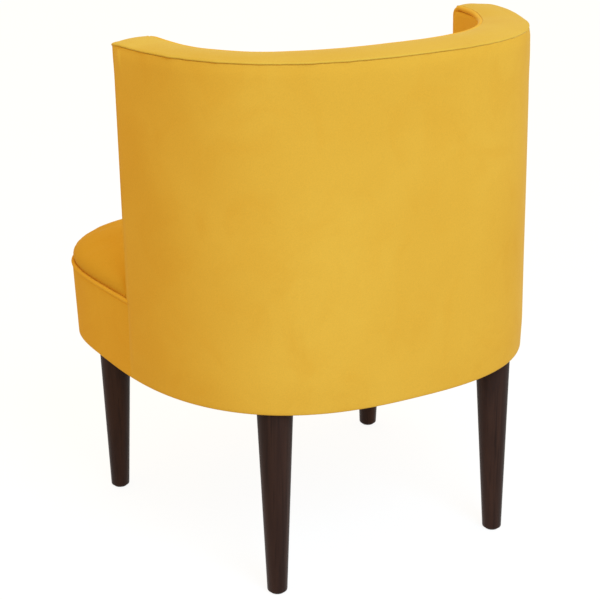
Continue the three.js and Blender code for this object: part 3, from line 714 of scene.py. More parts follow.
def soft_material(name, light, dark, scale, distance):
    """Foam, wadding or non-woven lining: a matt open surface."""
    material, tree, shader, place = new_material(name)
    cells = noise_at(tree, place, scale, detail=3.0, roughness=0.7)
    tone = noise_at(tree, place, 12.0)
    base = blend_colours(tree, spread(tree, tone, 0.3, 0.7), light, dark)
    pitted = blend_colours(tree, spread(tree, cells, 0.4, 0.62, 0.0, 0.5), base, dark)
    set_inputs(tree, shader, {"Base Color": pitted, "Roughness": 0.95, "Specular IOR Level": 0.15})
    raise_surface(tree, shader, [(cells, 0.5, distance)])
    return material


def woven_material(name, light, dark):
    """Webbing with crossing threads."""
    material, tree, shader, place = new_material(name)
    threads = []
    for direction in ("X", "Y"):
        wave = add_node(tree, "ShaderNodeTexWave", {"Vector": place, "Scale": 140.0, "Distortion": 0.4})
        wave.bands_direction = direction
        threads.append(wave.outputs["Fac"])
    weave = add_node(tree, "ShaderNodeRGBToBW", {"Color": blend_colours(tree, 0.5, *threads)}).outputs["Val"]
    set_inputs(tree, shader, {"Base Color": blend_colours(tree, weave, dark, light), "Roughness": 0.9})
    raise_surface(tree, shader, [(weave, 0.5, 0.0006)])
    return material


def metal_material(name):
    """Zinc-plated steel."""
    material, tree, shader, place = new_material(name)
    spangle = noise_at(tree, place, 180.0, detail=3.0, roughness=0.6)
    set_inputs(tree, shader, {
        "Base Color": blend_colours(tree, spangle, *STEEL),
        "Roughness": spread(tree, spangle, 0.3, 0.7, 0.28, 0.42), "Metallic": 1.0,
    })
    raise_surface(tree, shader, [(spangle, 0.1, 0.0002)])
    return material


def glide_material(name):
    """Dark moulded nylon with scuffs."""
    material, tree, shader, place = new_material(name)
    scuff = noise_at(tree, place, 420.0, detail=4.0, roughness=0.7)
    set_inputs(tree, shader, {
        "Base Color": blend_colours(tree, spread(tree, scuff, 0.45, 0.7), *NYLON),
        "Roughness": spread(tree, scuff, 0.3, 0.7, 0.42, 0.62),
    })
    raise_surface(tree, shader, [(scuff, 0.2, 0.0002)])
    return material


def made_material(name, maker, *arguments):
    """The material of that name, made once."""
    return bpy.data.materials.get(name) or maker(name, *arguments)


def velvet(part="covers"):
    """The velvet of a part of the cover."""
    return made_material("mustard_velvet_" + part, velvet_material, *VELVET_SHEEN_AND_PAINTED_LIGHT[part])


def lining():
    """The dark non-woven cloth under the frame."""
    dye = bpy.context.scene.chair_cloth.lining
    return made_material("lining_cloth", soft_material, dye, (0.5 * dye[0],) * 3, 900.0, 0.0003)


def leg_wood():
    """The stained wood of the legs."""
    return made_material("stained_leg_wood", leg_material)


def show_to_camera(tree, plain, seen, output):
    """One shader lights the chair; the other is what the camera sees, straight, mirrored or through glass."""
    path = tree.nodes.new("ShaderNodeLightPath")
    total = path.outputs["Is Camera Ray"]
    for kind in ("Is Glossy Ray", "Is Transmission Ray"):
        both = add_node(tree, "ShaderNodeMath", {0: total, 1: path.outputs[kind]})
        both.operation = "MAXIMUM"
        total = both.outputs[0]
    mix = add_node(tree, "ShaderNodeMixShader", {0: total, 1: plain.outputs[0], 2: seen.outputs[0]})
    add_node(tree, output, {"Surface": mix.outputs[0]})


# Cover pieces


def hem_turn(outline):
    """Depths and heights of a cover's lower edge, which turns under the frame."""
    low = outline.hem_height
    return [
        (0.0001, low + 0.0026), (0.0006, low + 0.0012), (0.0017, low + 0.0003), (0.0032, low),
        (0.0070, low + 0.0006), (0.0120, low + 0.0020), (0.0180, low + 0.0034), (0.0250, low + 0.0040),
    ]


def edge_turn(distance, radius):
    """How far a cover turns into a seam at a distance from it."""
    if distance >= radius:
        return 0.0
    return radius - math.sqrt(radius ** 2 - (radius - distance) ** 2)


class CHAIR_OT_outside_back(bpy.types.Operator):
    """Wrap the smooth outside cover round the arms and back"""

    bl_idname = "chair.outside_back"
    bl_label = "Outside back"

    def execute(self, context):
        outline, cloth = plan(), context.scene.chair_cloth
        top = outline.rim_height
        near = [
            0.0004, 0.0009, 0.0016, 0.0024, 0.0034, 0.0048, 0.0068, 0.0093,
            0.012, 0.0145, 0.017, 0.0195, 0.022, 0.0245, 0.027, 0.030,
        ]
        section = [
            (0.0050, top - 0.0060), (0.0032, top - 0.0026), (0.0019, top - 0.0007), (0.0013, top - 0.0003),
            (0.0008, top - 0.0006), (0.0004, top - 0.0015), (0.0001, top - 0.0028), (0.0, top - 0.0042),
        ]
        wall = spaced(top - 0.0080, outline.hem_height + HEM_BEND, cloth.mesh_step)
        section += [(0.0, height) for height in wall] + hem_turn(outline)
        rows = []
        for place in spaced(-outline.arm_end, outline.arm_end, cloth.mesh_step, near):
            column = outline.column(place)
            rows.append([self.point(outline, cloth, column, place, *spot) for spot in section])
        piece = laid_cloth("outside_back", rows)
        face_towards(piece, Vector((0, 0.3, 0.55)), Vector((0, 1, 0)))
        thicken(piece, cloth.cover_thickness)
        smooth(piece, CUT_EDGES)
        settle(piece, velvet(), ["outside_back_cover", "outside_back_wadding"])
        return {"FINISHED"}

    def point(self, outline, cloth, column, place, depth, height):
        """Point of the cover: it follows the rim's uneven seam and turns into the seams of the arm fronts."""
        top, cord = outline.rim_height, outline.cord_height
        to_seam = outline.arm_end - abs(place)
        radius = 0.0008 + 0.0026 * ease(height, cord - 0.006, cord + 0.004)
        out = self.lie(outline, cloth, place, height) if depth == 0 else 0
        level = height - seam_drop(place) * ease(height, top - 0.08, top - 0.004)
        ahead = corner_pull(outline, place, top - height) * (1 - ease(to_seam, 0, 0.02))
        return column.at(level, depth + edge_turn(to_seam, radius) - out, ahead)

    @staticmethod
    def lie(outline, cloth, place, height):
        """How far the cover stands out at a place: slow waves, pulls at the seam and at the arm's corner."""
        below = outline.rim_height - height
        above = height - outline.hem_height
        to_seam = outline.arm_end - abs(place)
        slow = noise.noise(Vector((place * 8, height * 8, 1.7))) * ease(above, 0.004, 0.05)
        slant = noise.noise(Vector((place * 13 + height * 9, height * 22 - place * 6, 7.1)))
        slant *= 1 - ease(below, 0.05, 0.13)
        pulls = 1.3 * noise.noise(Vector((place * SEAM_PULLS, 0.4, 5.2))) * math.exp(-below / 0.011)
        waves = cloth.unevenness * (slow + slant + pulls) * ease(below, 0.002, 0.009)
        full = cloth.fullness * ease(above, 0.0, 0.05) * ease(below, 0.002, 0.014)
        ridge_line, ridge_width, ridge_height = 0.017 + 0.1 * below, 0.0042, 0.0019
        ridge = ridge_height * math.exp(-(((to_seam - ridge_line) / ridge_width) ** 2))
        ridge *= ease(below, 0.001, 0.010) * (1 - ease(below, 0.018, 0.040)) * (1 if place > 0 else 0.3)
        return (waves + full) * ease(to_seam, 0.0, 0.014) + ridge


class CHAIR_OT_seat_band(bpy.types.Operator):
    """Sew the boxing band round the front of the seat"""

    bl_idname = "chair.seat_band"
    bl_label = "Seat band"

    def execute(self, context):
        outline, cloth = plan(), context.scene.chair_cloth
        top = outline.cord_height - outline.cord_radius
        start, end = outline.arm_end, 2 * outline.half_girth - outline.arm_end
        near = [0.0004, 0.0009, 0.0016, 0.003, 0.006]
        edge_radius = 0.0012
        section = [
            (0.0060, top - 0.0040), (0.0030, top - 0.0008), (0.0016, top + 0.0004), (0.0006, top + 0.0002),
            (0.0001, top - 0.0012), (0.0, top - 0.0030),
        ]
        wall = spaced(top - 0.0060, outline.hem_height + HEM_BEND, cloth.mesh_step)
        section += [(0.0, height) for height in wall] + hem_turn(outline)
        rows = []
        for place in spaced(start, end, cloth.mesh_step, near):
            column = outline.column(place)
            turn = edge_turn(min(place - start, end - place), edge_radius)
            rows.append([column.at(height, depth + turn) for depth, height in section])
        piece = laid_cloth("seat_band_cover", rows)
        face_towards(piece, Vector((0, -0.3, 0.35)), Vector((0, -1, 0)))
        thicken(piece, cloth.cover_thickness)
        smooth(piece, CUT_EDGES)
        settle(piece, velvet("band"), ["seat_band", "seat_band_wadding"])
        return {"FINISHED"}


class CHAIR_OT_rim(bpy.types.Operator):
    """Pad the crowned band along the top of the arms and back"""

    bl_idname = "chair.rim"
    bl_label = "Rim"

    def execute(self, context):
        outline, cloth = plan(), context.scene.chair_cloth
        end = outline.arm_end
        places = spaced(-end, end, cloth.mesh_step, [0.0015, 0.003, 0.006])
        rows = [self.ring(outline, place) for place in places]
        for side, radius, reach in ((1, 0.0070, 0.0070), (-1, 0.0062, 0.0050)):
            ends = []
            for turn in (15, 30, 45, 60, 75, 90):
                angle = math.radians(turn)
                ahead, drop = reach * math.sin(angle), radius * (1 - math.cos(angle))
                ends.append(self.ring(outline, side * end, ahead, drop))
            rows = rows + ends if side > 0 else ends[::-1] + rows
        piece = stuffed_form("rim_band", rows)
        fill_out(piece, lambda point: self.hold(outline, point), cloth.rim_swell)
        refine(piece)
        smooth(piece, ALL_ROUND)
        settle(piece, velvet("rim"), ["rim_cover", "rim_pad"])
        return {"FINISHED"}

    @staticmethod
    def ring(outline, place, ahead=0.0, drop=0.0):
        """Closed section of the rim, from its seam over the crown to the cord and back below."""
        column = outline.column(place)
        top, thickness = outline.rim_height, column.thickness
        to_end = outline.arm_end - abs(place)
        plump = curl(place)
        inner = thickness - outline.rim_cord_radius * 2 + 0.0014
        roll, inner_roll = 0.0195 - 0.0090 * plump, 0.0045
        rise, lip, widest = outline.rim_crown * 0.80, 0.0005, 0.0018
        stand = 0.0002 + 0.0011 * plump * ease(to_end, 0.002, 0.03)
        pull = (0.0006 + 0.0018 * plump) * noise.noise(Vector((place * SEAM_PULLS, 0.2, 1.1)))
        meet = 0.88 + 0.10 * (1 - ease(to_end, 0.0, 0.04))
        full = outline.rim_crown * (0.32 + 0.20 * noise.noise(Vector((place * 9, 3.3, 0.5))))
        points = [(0.0050, top - 0.0060), (0.0028, top - 0.0022)]
        for turn in (-52, -40, -26, -12, 4, 20, 36, 52, 66, 78, 90):
            angle = math.radians(turn)
            depth = roll - (roll + stand) * max(math.cos(angle), 0) ** (1 - 0.3 * plump)
            if turn < 0:
                depth = -stand + min(depth + stand, 0.0030) * (0.3 + 0.7 * plump)
            height = top + widest + (rise + lip - widest) * math.sin(angle)
            points.append((depth + pull * math.cos(angle), height))
        for share in (0.06, 0.14, 0.24, 0.35, 0.47, 0.59, 0.7, 0.8, 0.88, 0.94):
            depth = roll + (inner - inner_roll - roll) * share
            points.append((depth, top + lip + rise + full * math.sin(math.pi * share) ** 0.8))
        for turn in (90, 68, 46, 24, 4):
            angle = math.radians(turn)
            depth = inner - inner_roll * (1 - math.cos(angle))
            points.append((depth, top + lip + rise * (meet + (1 - meet) * math.sin(angle))))
        points += [
            (inner, top + 0.0006), (inner - 0.0010, top - 0.0040), (inner - 0.0060, top - 0.0120),
            (thickness * 0.6, top - 0.0135), (thickness * 0.3, top - 0.0135), (0.0080, top - 0.0120),
        ]
        ring = []
        for depth, height in points:
            narrower = drop * 0.9 * max(1 - 2 * depth / inner, -0.3)
            level = height - drop - seam_drop(place) * max(1 - depth / inner, 0)
            if height > top:
                level += inner_lift(outline, place) * (max(depth, 0) / inner) ** 1.5
                level += end_lift(outline, place)
            forward = ahead * (1 - 0.9 * ease(top - height, 0.002, 0.006))
            ring.append(column.at(level, depth + narrower, forward))
        return ring

    @staticmethod
    def hold(outline, point):
        """Held at the level of its seams and below."""
        return 1 - ease(point.z, outline.rim_height + 0.0010, outline.rim_height + 0.0040)


class CHAIR_OT_inside_back(bpy.types.Operator):
    """Pad the inside of the arms and back"""

    bl_idname = "chair.inside_back"
    bl_label = "Inside back"

    def execute(self, context):
        outline, cloth = plan(), context.scene.chair_cloth
        into_cord, clear = 0.0006, 0.0006
        board, step, edge_radius = 0.0415, 0.0065, 0.0030
        top = outline.rim_height + outline.rim_crown - 2 * outline.rim_cord_radius + into_cord
        low = outline.hem_height + UNDER_SEAT
        end = outline.arm_end - clear
        rows = []
        for place in spaced(-end, end, step, [0.0006, 0.0014, 0.0028, 0.006]):
            column = outline.column(place)
            face = column.thickness
            lift = inner_lift(outline, place)
            turn = edge_turn(end - abs(place), edge_radius)
            section = [(board, low), (board + 0.012, low), (face - 0.008, low), (face - 0.0015, low + 0.004)]
            section += [(face, height) for height in spaced(low + 0.012, top - 0.010, step)]
            section += [
                (face - 0.0001, top - 0.0055), (face - 0.0007, top - 0.0028), (face - 0.0020, top - 0.0008),
                (face - 0.0040, top), (face - 0.0080, top - 0.0004), (board + 0.008, top - 0.002),
            ]
            section += [(board, height) for height in spaced(top - 0.010, low + 0.02, 0.060)]
            row = []
            for depth, height in section:
                level = height + lift * ease(height, top - 0.05, top)
                row.append(column.at(level, depth - (turn if depth > board + 0.016 else 0)))
            rows.append(row)
        piece = stuffed_form("inside_back", rows)
        fill_out(piece, lambda point: self.hold(outline, point, low, top), cloth.back_swell)
        refine(piece)
        smooth(piece, ALL_ROUND)
        settle(piece, velvet("inside"), ["inside_back_cover", "inside_back_foam"])
        return {"FINISHED"}

    @staticmethod
    def hold(outline, point, low, top):
        """Held along the cord, under the seat, and at the arm fronts."""
        ends = outline.column(outline.arm_end).at(point.z, 0.0).y
        return max(
            1 - ease(top - point.z, 0.004, 0.030), 1 - ease(point.z - low, 0.03, 0.08),
            1 - ease(point.y - ends, 0.004, 0.030),
        )


class CHAIR_OT_arm_fronts(bpy.types.Operator):
    """Pad the two bulging panels of the arm fronts"""

    bl_idname = "chair.arm_fronts"
    bl_label = "Arm fronts"
    clear = 0.0002  # between an arm front and the seams round it

    def execute(self, context):
        outline, cloth = plan(), context.scene.chair_cloth
        above_cord, step = 0.0010, 0.005
        low, top = outline.cord_height + above_cord, outline.rim_height - self.clear
        heights = spaced(low, top, step, [0.0004, 0.0010, 0.0020, 0.0034, 0.0052, 0.0075])
        for name, side in SIDES.items():
            column = outline.column(side * outline.arm_end)
            bulge = cloth.arm_bulge if side > 0 else cloth.left_arm_bulge
            rows = [self.ring(outline, side, column, height, top - height, bulge) for height in heights]
            piece = stuffed_form("arm_front_" + name, rows)
            fill_out(piece, lambda point: self.hold(column, point, top), cloth.arm_swell)
            refine(piece)
            smooth(piece, ALL_ROUND)
            settle(piece, velvet(), ["arm_front_cover_" + name, "arm_front_pad_" + name])
        return {"FINISHED"}

    def ring(self, outline, side, column, height, below, bulge):
        """Closed section of an arm front at one height; it rolls back into the seams round it."""
        inner = outline.arm_thickness - 2 * outline.rim_cord_radius - self.clear
        roll, at_seam, least = 0.0035, 0.0008, 0.0010
        lift = 1.0 if below >= roll else math.sqrt(1 - ((roll - below) / roll) ** 2)
        points = [
            (0.0060, -0.0100), (0.0030, -0.0050), (0.0016, -0.0018), (0.0006, -0.0004), (0.0002, 0.0006),
        ]
        for share in (0.02, 0.05, 0.1, 0.17, 0.26, 0.37, 0.5, 0.63, 0.74, 0.83, 0.9, 0.95, 0.98):
            rise = math.sqrt(1 - abs(1 - 2 * share) ** 4)
            points.append((inner * share, at_seam + (least + bulge) * rise))
        points += [
            (inner, 0.0006), (inner - 0.0004, -0.0018), (inner - 0.0020, -0.0050), (inner - 0.0040, -0.0100),
        ]
        ahead = corner_pull(outline, side, below)
        return [
            column.at(height, depth, ahead + (forward if forward < 0 else forward * lift))
            for depth, forward in points
        ]

    @staticmethod
    def hold(column, point, top):
        """Held along the seams at both edges and at the top."""
        width = 0.064
        across = abs(point.x - column.at(point.z, 0.0).x)
        return max(1 - ease(min(across, width - across), 0.002, 0.014), 1 - ease(top - point.z, 0.002, 0.016))


class CHAIR_OT_seat(bpy.types.Operator):
    """Fill the crowned seat, with its ears in front of the arms"""

    bl_idname = "chair.seat"
    bl_label = "Seat"
    over_cord = 0.003  # from the middle of the cord up to the seat's edge
    edge_depth = 0.0042  # from the outline in to the seat's edge

    def execute(self, context):
        outline, cloth = plan(), context.scene.chair_cloth
        self.edge_height = outline.cord_height + self.over_cord
        self.low = outline.hem_height + UNDER_SEAT
        self.centre = Vector((0, outline.shift - outline.front_reach * 0.2, 0))
        self.bulge = cloth.seat_bulge
        rings = 46
        edges = self.boundary(outline, 8 * (rings - 1))
        walls = [edge["low"] for edge in edges if not edge["front"]]
        self.walls = kdtree.KDTree(len(walls))
        for index, wall in enumerate(walls):
            self.walls.insert((wall.x, wall.y, 0), index)
        self.walls.balance()
        self.share_rings(outline, edges, rings)
        top = self.crown(outline, edges, rings - 1)
        skirt = [[self.crown_point(outline, edge, rings - 1) for edge in edges]]
        skirt += [list(ring) for ring in zip(*[edge["turn"] for edge in edges])]
        for share in (0.6, 0.0):
            skirt.append([self.centre.lerp(point, share).xy.to_3d() + UP * self.low for point in skirt[-1]])
        under = laid_cloth("seat_under", skirt, closed=True)
        take(under)
        top.select_set(True)
        bpy.context.view_layer.objects.active = top
        bpy.ops.object.join()
        piece = close_form(top)
        fill_out(piece, self.hold, cloth.seat_swell)
        smooth(piece, ALL_ROUND)
        settle(piece, velvet("seat"), ["seat_cover", "seat_foam"])
        return {"FINISHED"}

    @staticmethod
    def share_rings(outline, edges, rings):
        """How far out each ring lies on the way to each edge point; the last ones lie close, for the fall."""
        rises = [0.0275, 0.0235, 0.0200, 0.0165, 0.0130, 0.0098, 0.0068, 0.0042, 0.0020, 0.0008, 0.0]
        falls = [(rise / outline.seat_crown) ** (1 / outline.crown_round) for rise in rises]
        at_cord = [(1 - fall) ** (1 / CROWN_POWER) for fall in falls]
        beside = [at_cord[0] + (1 - at_cord[0]) * i / (len(rises) - 1) for i in range(len(rises))]
        inner = rings - len(rises)
        middle = [0.952 * (i / inner) ** 0.93 for i in range(inner)]
        for edge in edges:
            edge["shares"] = middle + (at_cord if edge["front"] else beside)

    def crown_reach(self, outline, x, y):
        """How far out a point is: 1 on the outline of the seat's edge."""
        y -= outline.shift
        reach = (outline.hem_back_reach if y >= 0 else outline.front_reach) - self.edge_depth
        power = outline.back_power if y >= 0 else outline.front_power
        wide = outline.hem_half_width - self.edge_depth
        return ((abs(x) / wide) ** power + (abs(y) / reach) ** power) ** (1 / power)

    def crown_height(self, outline, reach):
        """Height of the crown at a share of the way out."""
        fall = 1 - min(reach, 1) ** CROWN_POWER
        return self.edge_height + outline.seat_crown * fall ** outline.crown_round

    def crown(self, outline, edges, count):
        """A grid primitive whose square rings become the rings of the crown."""
        deselect()
        bpy.ops.mesh.primitive_grid_add(x_subdivisions=2 * count, y_subdivisions=2 * count, size=2)
        piece = bpy.context.object
        piece.name = piece.data.name = "seat_cushion"
        for vertex in piece.data.vertices:
            i, j = round(vertex.co.x * count), round(vertex.co.y * count)
            ring = max(abs(i), abs(j))
            if i == ring:
                along = j + ring
            elif j == ring:
                along = 3 * ring - i
            elif i == -ring:
                along = 5 * ring - j
            else:
                along = 7 * ring + i
            place = along * count / max(ring, 1) % len(edges)
            first = int(place)
            points = [self.crown_point(outline, edges[k % len(edges)], ring) for k in (first, first + 1)]
            vertex.co = points[0].lerp(points[1], place - first)
        return piece

    def boundary(self, outline, count):
        """Points round the edge: along the cord in front, then the ears, then inside the arms and back."""
        ear_gap, clear = 0.0072, 0.0124
        start, end = outline.arm_end + clear, 2 * outline.half_girth - outline.arm_end - clear
        corner = outline.column(start).at(self.edge_height, self.edge_depth)
        full = self.crown_reach(outline, corner.x, corner.y)
        edges = [
            self.front_edge(outline, outline.column(place), ease(min(place - start, end - place), 0.0, 0.04))
            for place in spaced(start, end, 0.0058, [0.002, 0.005])
        ]
        inner = outline.arm_thickness + SIDE_GAP
        ears = {}
        for side in (-1, 1):
            column = outline.column(side * outline.arm_end)
            ears[side] = []
            for share in (0.04, 0.1, 0.18, 0.28, 0.4, 0.52, 0.64, 0.76, 0.88, 1.0):
                depth = self.edge_depth + (inner - self.edge_depth) * share
                ears[side].append(self.inner_edge(outline, column, depth, ear_gap, full))
        limit = outline.arm_end - 0.010
        inside_count = count - len(edges) - len(ears[-1]) - len(ears[1])
        inside = []
        for i in range(inside_count):
            column = outline.column(-limit + 2 * limit * i / (inside_count - 1))
            inside.append(self.inner_edge(outline, column, column.thickness + SIDE_GAP, 0.0, full))
        return edges + ears[-1] + inside + ears[1][::-1]

    def front_edge(self, outline, column, fullness):
        """Where the crown ends at the cord, and how it turns down behind the band."""
        steps = ((-0.002, 0.0004), (-0.006, 0.0022), (-0.014, 0.0040))
        turn = [column.at(self.edge_height + down, self.edge_depth + into) for down, into in steps]
        turn.append(column.at(self.low, 0.012))
        low = column.at(self.edge_height, self.edge_depth)
        full = self.crown_reach(outline, low.x, low.y)
        return {"low": low, "full": full, "turn": turn, "front": True, "fullness": fullness}

    def inner_edge(self, outline, column, depth, ahead, full):
        """Where the crown runs on to the arm or the back, and turns down beside it."""
        foot = column.at(self.edge_height, depth, ahead)
        height = self.crown_height(outline, self.crown_reach(outline, foot.x, foot.y) / full)
        start = height - self.tuck(height, 0)
        turn = [
            column.at(start + (self.low - start) * share, depth, ahead) for share in (0.12, 0.4, 0.7, 1.0)
        ]
        return {"low": column.at(height, depth, ahead), "full": full, "turn": turn, "front": False}

    def tuck(self, height, away):
        """How far the cover dips at a distance from the arms and the back."""
        dip, reach, full_rise = 0.0085, 0.017, 0.022
        return dip * (1 - ease(away, 0, reach)) * ease(height - self.edge_height, 0, full_rise)

    def to_wall(self, x, y):
        """Distance from a point of the seat to the arms and the back."""
        return self.walls.find((x, y, 0))[2]

    def crown_point(self, outline, edge, ring):
        """Point of the crown on a ring, on the way from the middle to an edge point."""
        share = edge["shares"][ring]
        x = self.centre.x + (edge["low"].x - self.centre.x) * share
        y = self.centre.y + (edge["low"].y - self.centre.y) * share
        height = self.crown_height(outline, self.crown_reach(outline, x, y) / edge["full"])
        height -= self.tuck(height, self.to_wall(x, y))
        if not edge["front"]:
            return Vector((x, y, height))
        rise = height - self.edge_height
        out = self.bulge * edge["fullness"] * ease(rise, 0, 0.008) * (1 - ease(rise, 0.012, 0.040))
        way = (edge["low"] - self.centre).xy.normalized()
        return Vector((x + way.x * out, y + way.y * out, height))

    def hold(self, point):
        """Held at the cord and below it, and beside the arms and the back."""
        beside = 1 - ease(self.to_wall(point.x, point.y), 0.002, 0.014)
        return max(beside, 1 - ease(point.z, self.edge_height + 0.001, self.edge_height + 0.020))


def cord_ring(centre, first, second, radius, sides=16):
    """Points round a cord."""
    turns = [2 * math.pi * i / sides for i in range(sides)]
    return [centre + first * (radius * math.cos(t)) + second * (radius * math.sin(t)) for t in turns]


def uneven(centre, radius, wave=0.035, scale=42.0):
    """The radius of a hand-sewn cord at a point."""
    return radius * (1 + wave * noise.noise(centre * scale))


class CHAIR_OT_cords(bpy.types.Operator):
    """Lay the covered cords round the seat and inside the rim"""

    bl_idname = "chair.cords"
    bl_label = "Cords"

    def execute(self, context):
        outline = plan()
        self.seat_cord(outline)
        self.rim_cord(outline)
        return {"FINISHED"}

    def seat_cord(self, outline):
        """The cord between the seat and its band, from arm to arm round the front."""
        radius, level = outline.cord_radius, outline.cord_height
        sunk, clear, step = 0.0011, 0.0004, 0.005
        start, end = outline.arm_end + clear, 2 * outline.half_girth - outline.arm_end - clear
        rows = []
        for place in spaced(start, end, step):
            column = outline.column(place)
            centre = column.at(level, radius - outline.flare / 2 + sunk)
            rows.append(cord_ring(centre, self.inward(column, level), UP, uneven(centre, radius)))
        self.finish_cord("seat_cord", rows, "band", ["seat_welt"])

    def rim_cord(self, outline):
        """The cord up one arm front, round the rim's inner edge and down the other arm front."""
        radius = outline.rim_cord_radius
        proud, dip, step = 0.0003, 0.0006, 0.005
        corner, left_corner = 0.0070, 0.0125
        inset = radius - proud
        height = outline.rim_height + outline.rim_crown - radius
        limit = outline.arm_end - corner
        rows = []
        for place in spaced(left_corner - outline.arm_end, limit, step):
            column = outline.column(place)
            level = height + inner_lift(outline, place) + end_lift(outline, place) - dip
            centre = column.at(level, column.thickness - inset)
            rows.append(cord_ring(centre, self.inward(column, height), -UP, uneven(centre, radius)))
        ends = [height + inner_lift(outline, x) + end_lift(outline, x) - dip for x in (-limit, limit)]
        left = self.arm_rows(outline, -1, ends[0], inset, 0.0070, 0.0034)
        right = self.arm_rows(outline, 1, ends[1], inset, 0.0045, 0.0006)
        self.finish_cord("rim_cord", left + rows + right[::-1], "inside", ["inner_welt"])

    @staticmethod
    def inward(column, height):
        """The way into the wall at a height."""
        return (column.at(height, 0.01) - column.at(height, 0)).normalized()

    @staticmethod
    def arm_rows(outline, side, height, inset, wider, sunk):
        """Rings of the cord from the seat up an arm front and over its corner, in a bend that much wider."""
        radius = outline.rim_cord_radius
        bend, forward = radius + wider, radius - sunk
        column = outline.column(side * outline.arm_end)
        depth = outline.arm_thickness - inset
        start = column.at(height, depth)
        inward = (start - column.at(height, 0)).normalized()
        ahead = (column.at(height, depth, 0.01) - start).normalized()
        rows = []
        for level in spaced(outline.cord_height + 0.010, height - bend - 0.004, 0.006):
            centre = column.at(level, depth, forward)
            rows.append(cord_ring(centre, inward, -ahead, uneven(centre, radius)))
        for turn in (0, 15, 30, 45, 60, 75, 90):
            angle = math.radians(turn)
            centre = column.at(height - bend, depth, forward - bend * (1 - math.cos(angle)))
            centre.z = height - bend + bend * math.sin(angle)
            across = -ahead * math.cos(angle) - UP * math.sin(angle)
            rows.append(cord_ring(centre, inward, across, radius))
        return rows

    @staticmethod
    def finish_cord(name, rows, part, nodes):
        """Close a cord and give it the velvet."""
        piece = stuffed_form(name, rows)
        smooth(piece, SEWN_CORD)
        settle(piece, velvet(part), nodes)


# Legs and underside


class CHAIR_OT_legs(bpy.types.Operator):
    """Turn the four tapering legs"""

    bl_idname = "chair.legs"
    bl_label = "Legs"

    def execute(self, context):
        look = context.scene.chair_wood
        for corner in CORNERS:
            low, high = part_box("leg_" + corner)
            side = 1 if corner.endswith("right") else -1
            rear = corner.startswith("rear")
            lean = Vector((side * look.splay, look.rake, 0)) if rear else Vector((0, 0, 0))
            foot = sum(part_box("glide_" + corner), Vector()) / 2
            head = Vector((foot.x, foot.y, 0)) - lean
            frame_head = high.x - look.top_radius if side > 0 else low.x + look.top_radius
            allowed = 0.002
            if abs(frame_head - head.x) >= allowed:
                raise RuntimeError("the top of leg " + corner + " isn't over its solid")
            deselect()
            bpy.ops.mesh.primitive_cone_add(
                vertices=look.facets, radius1=look.foot_radius, radius2=look.top_radius,
                depth=high.z - low.z, location=(head.x, head.y, (low.z + high.z) / 2),
            )
            piece = context.object
            piece.name = "turned_leg_" + corner
            bpy.ops.object.transform_apply(location=True, rotation=True, scale=True)
            middle = (low.z + high.z) / 2
            edit_points(piece, lambda vertex: vertex.co.z < middle)
            bpy.ops.transform.translate(value=lean)
            leave_edit()
            bevel_points(piece, lambda vertex: vertex.co.z < middle, look.foot_round, 4)
            bevel_points(piece, lambda vertex: vertex.co.z > high.z - look.foot_round, look.top_round, 2)
            smooth(piece, TURNED_WOOD)
            settle(piece, leg_wood(), ["leg_" + corner])
        return {"FINISHED"}


class CHAIR_OT_underside(bpy.types.Operator):
    """Stretch the dust cloth under the frame"""

    bl_idname = "chair.underside"
    bl_label = "Dust cloth"

    def execute(self, context):
        outline, cloth = plan(), context.scene.chair_cloth
        above_node, inset, step, most_sag = 0.0002, 0.0165, 0.012, 0.0035
        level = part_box("dust_cloth")[0].z + above_node
        places = spaced(0, 2 * outline.half_girth, step)[:-1]
        edge = [outline.column(place).at(level, inset) for place in places]
        middle = sum(edge, Vector()) / len(edge)
        rows = []
        for share in (0.0, 0.08, 0.18, 0.3, 0.42, 0.54, 0.66, 0.76, 0.85, 0.92, 0.965, 0.985, 1.0):
            sag = most_sag * (1 - share ** 3)
            rows.append([
                middle.lerp(point, share) - UP * (sag + self.pucker(i, share)) for i, point in enumerate(edge)
            ])
        piece = close_form(laid_cloth("stretched_dust_cloth", rows, closed=True))
        face_towards(piece, middle, -UP)
        thicken(piece, cloth.lining_thickness)
        smooth(piece, CUT_EDGES)
        settle(piece, lining(), ["dust_cloth"])
        return {"FINISHED"}

    @staticmethod
    def pucker(index, share):
        """Small pulls between the staples near the edge."""
        pull, start = 0.0048, 0.6
        return pull * math.sin(index * math.pi / 2.5) * max(share - start, 0) / (1 - start) * (1 - share)


class CHAIR_OT_frame_finish(bpy.types.Operator):
    """Give the timber, webbing, foam and fixings of the frame their finishes"""

    bl_idname = "chair.frame_finish"
    bl_label = "Frame finish"

    def execute(self, context):
        timber = tuple(context.scene.chair_wood.timber)
        finishes = {
            "frame_wood": made_material(
                "bare_timber", timber_material, timber, darker(timber, 0.7), UPRIGHT_GRAIN
            ),
            "fibreboard": made_material("bent_board", timber_material, *BOARD, NO_GRAIN),
            "foam": made_material("foam_filling", soft_material, *FOAM, 700.0, 0.0006),
            "wadding": made_material("fleece_wadding", soft_material, *WADDING, 300.0, 0.001),
            "webbing": made_material("jute_webbing", woven_material, *WEBBING),
            "dust_cloth": lining(),
            "steel": made_material("plated_steel", metal_material),
            "nylon": made_material("moulded_nylon", glide_material),
            "leg_wood": leg_wood(),
            "velvet": velvet(),
        }
        for part in frame["record"]["subparts"]:
            node = part["node"]
            solid = frame["nodes"][node]
            if not solid.material_slots:
                raise RuntimeError("no material slot on " + node)
            for place in solid.material_slots:
                place.material = finishes[part["material_slot"]]
        return {"FINISHED"}


# Stage


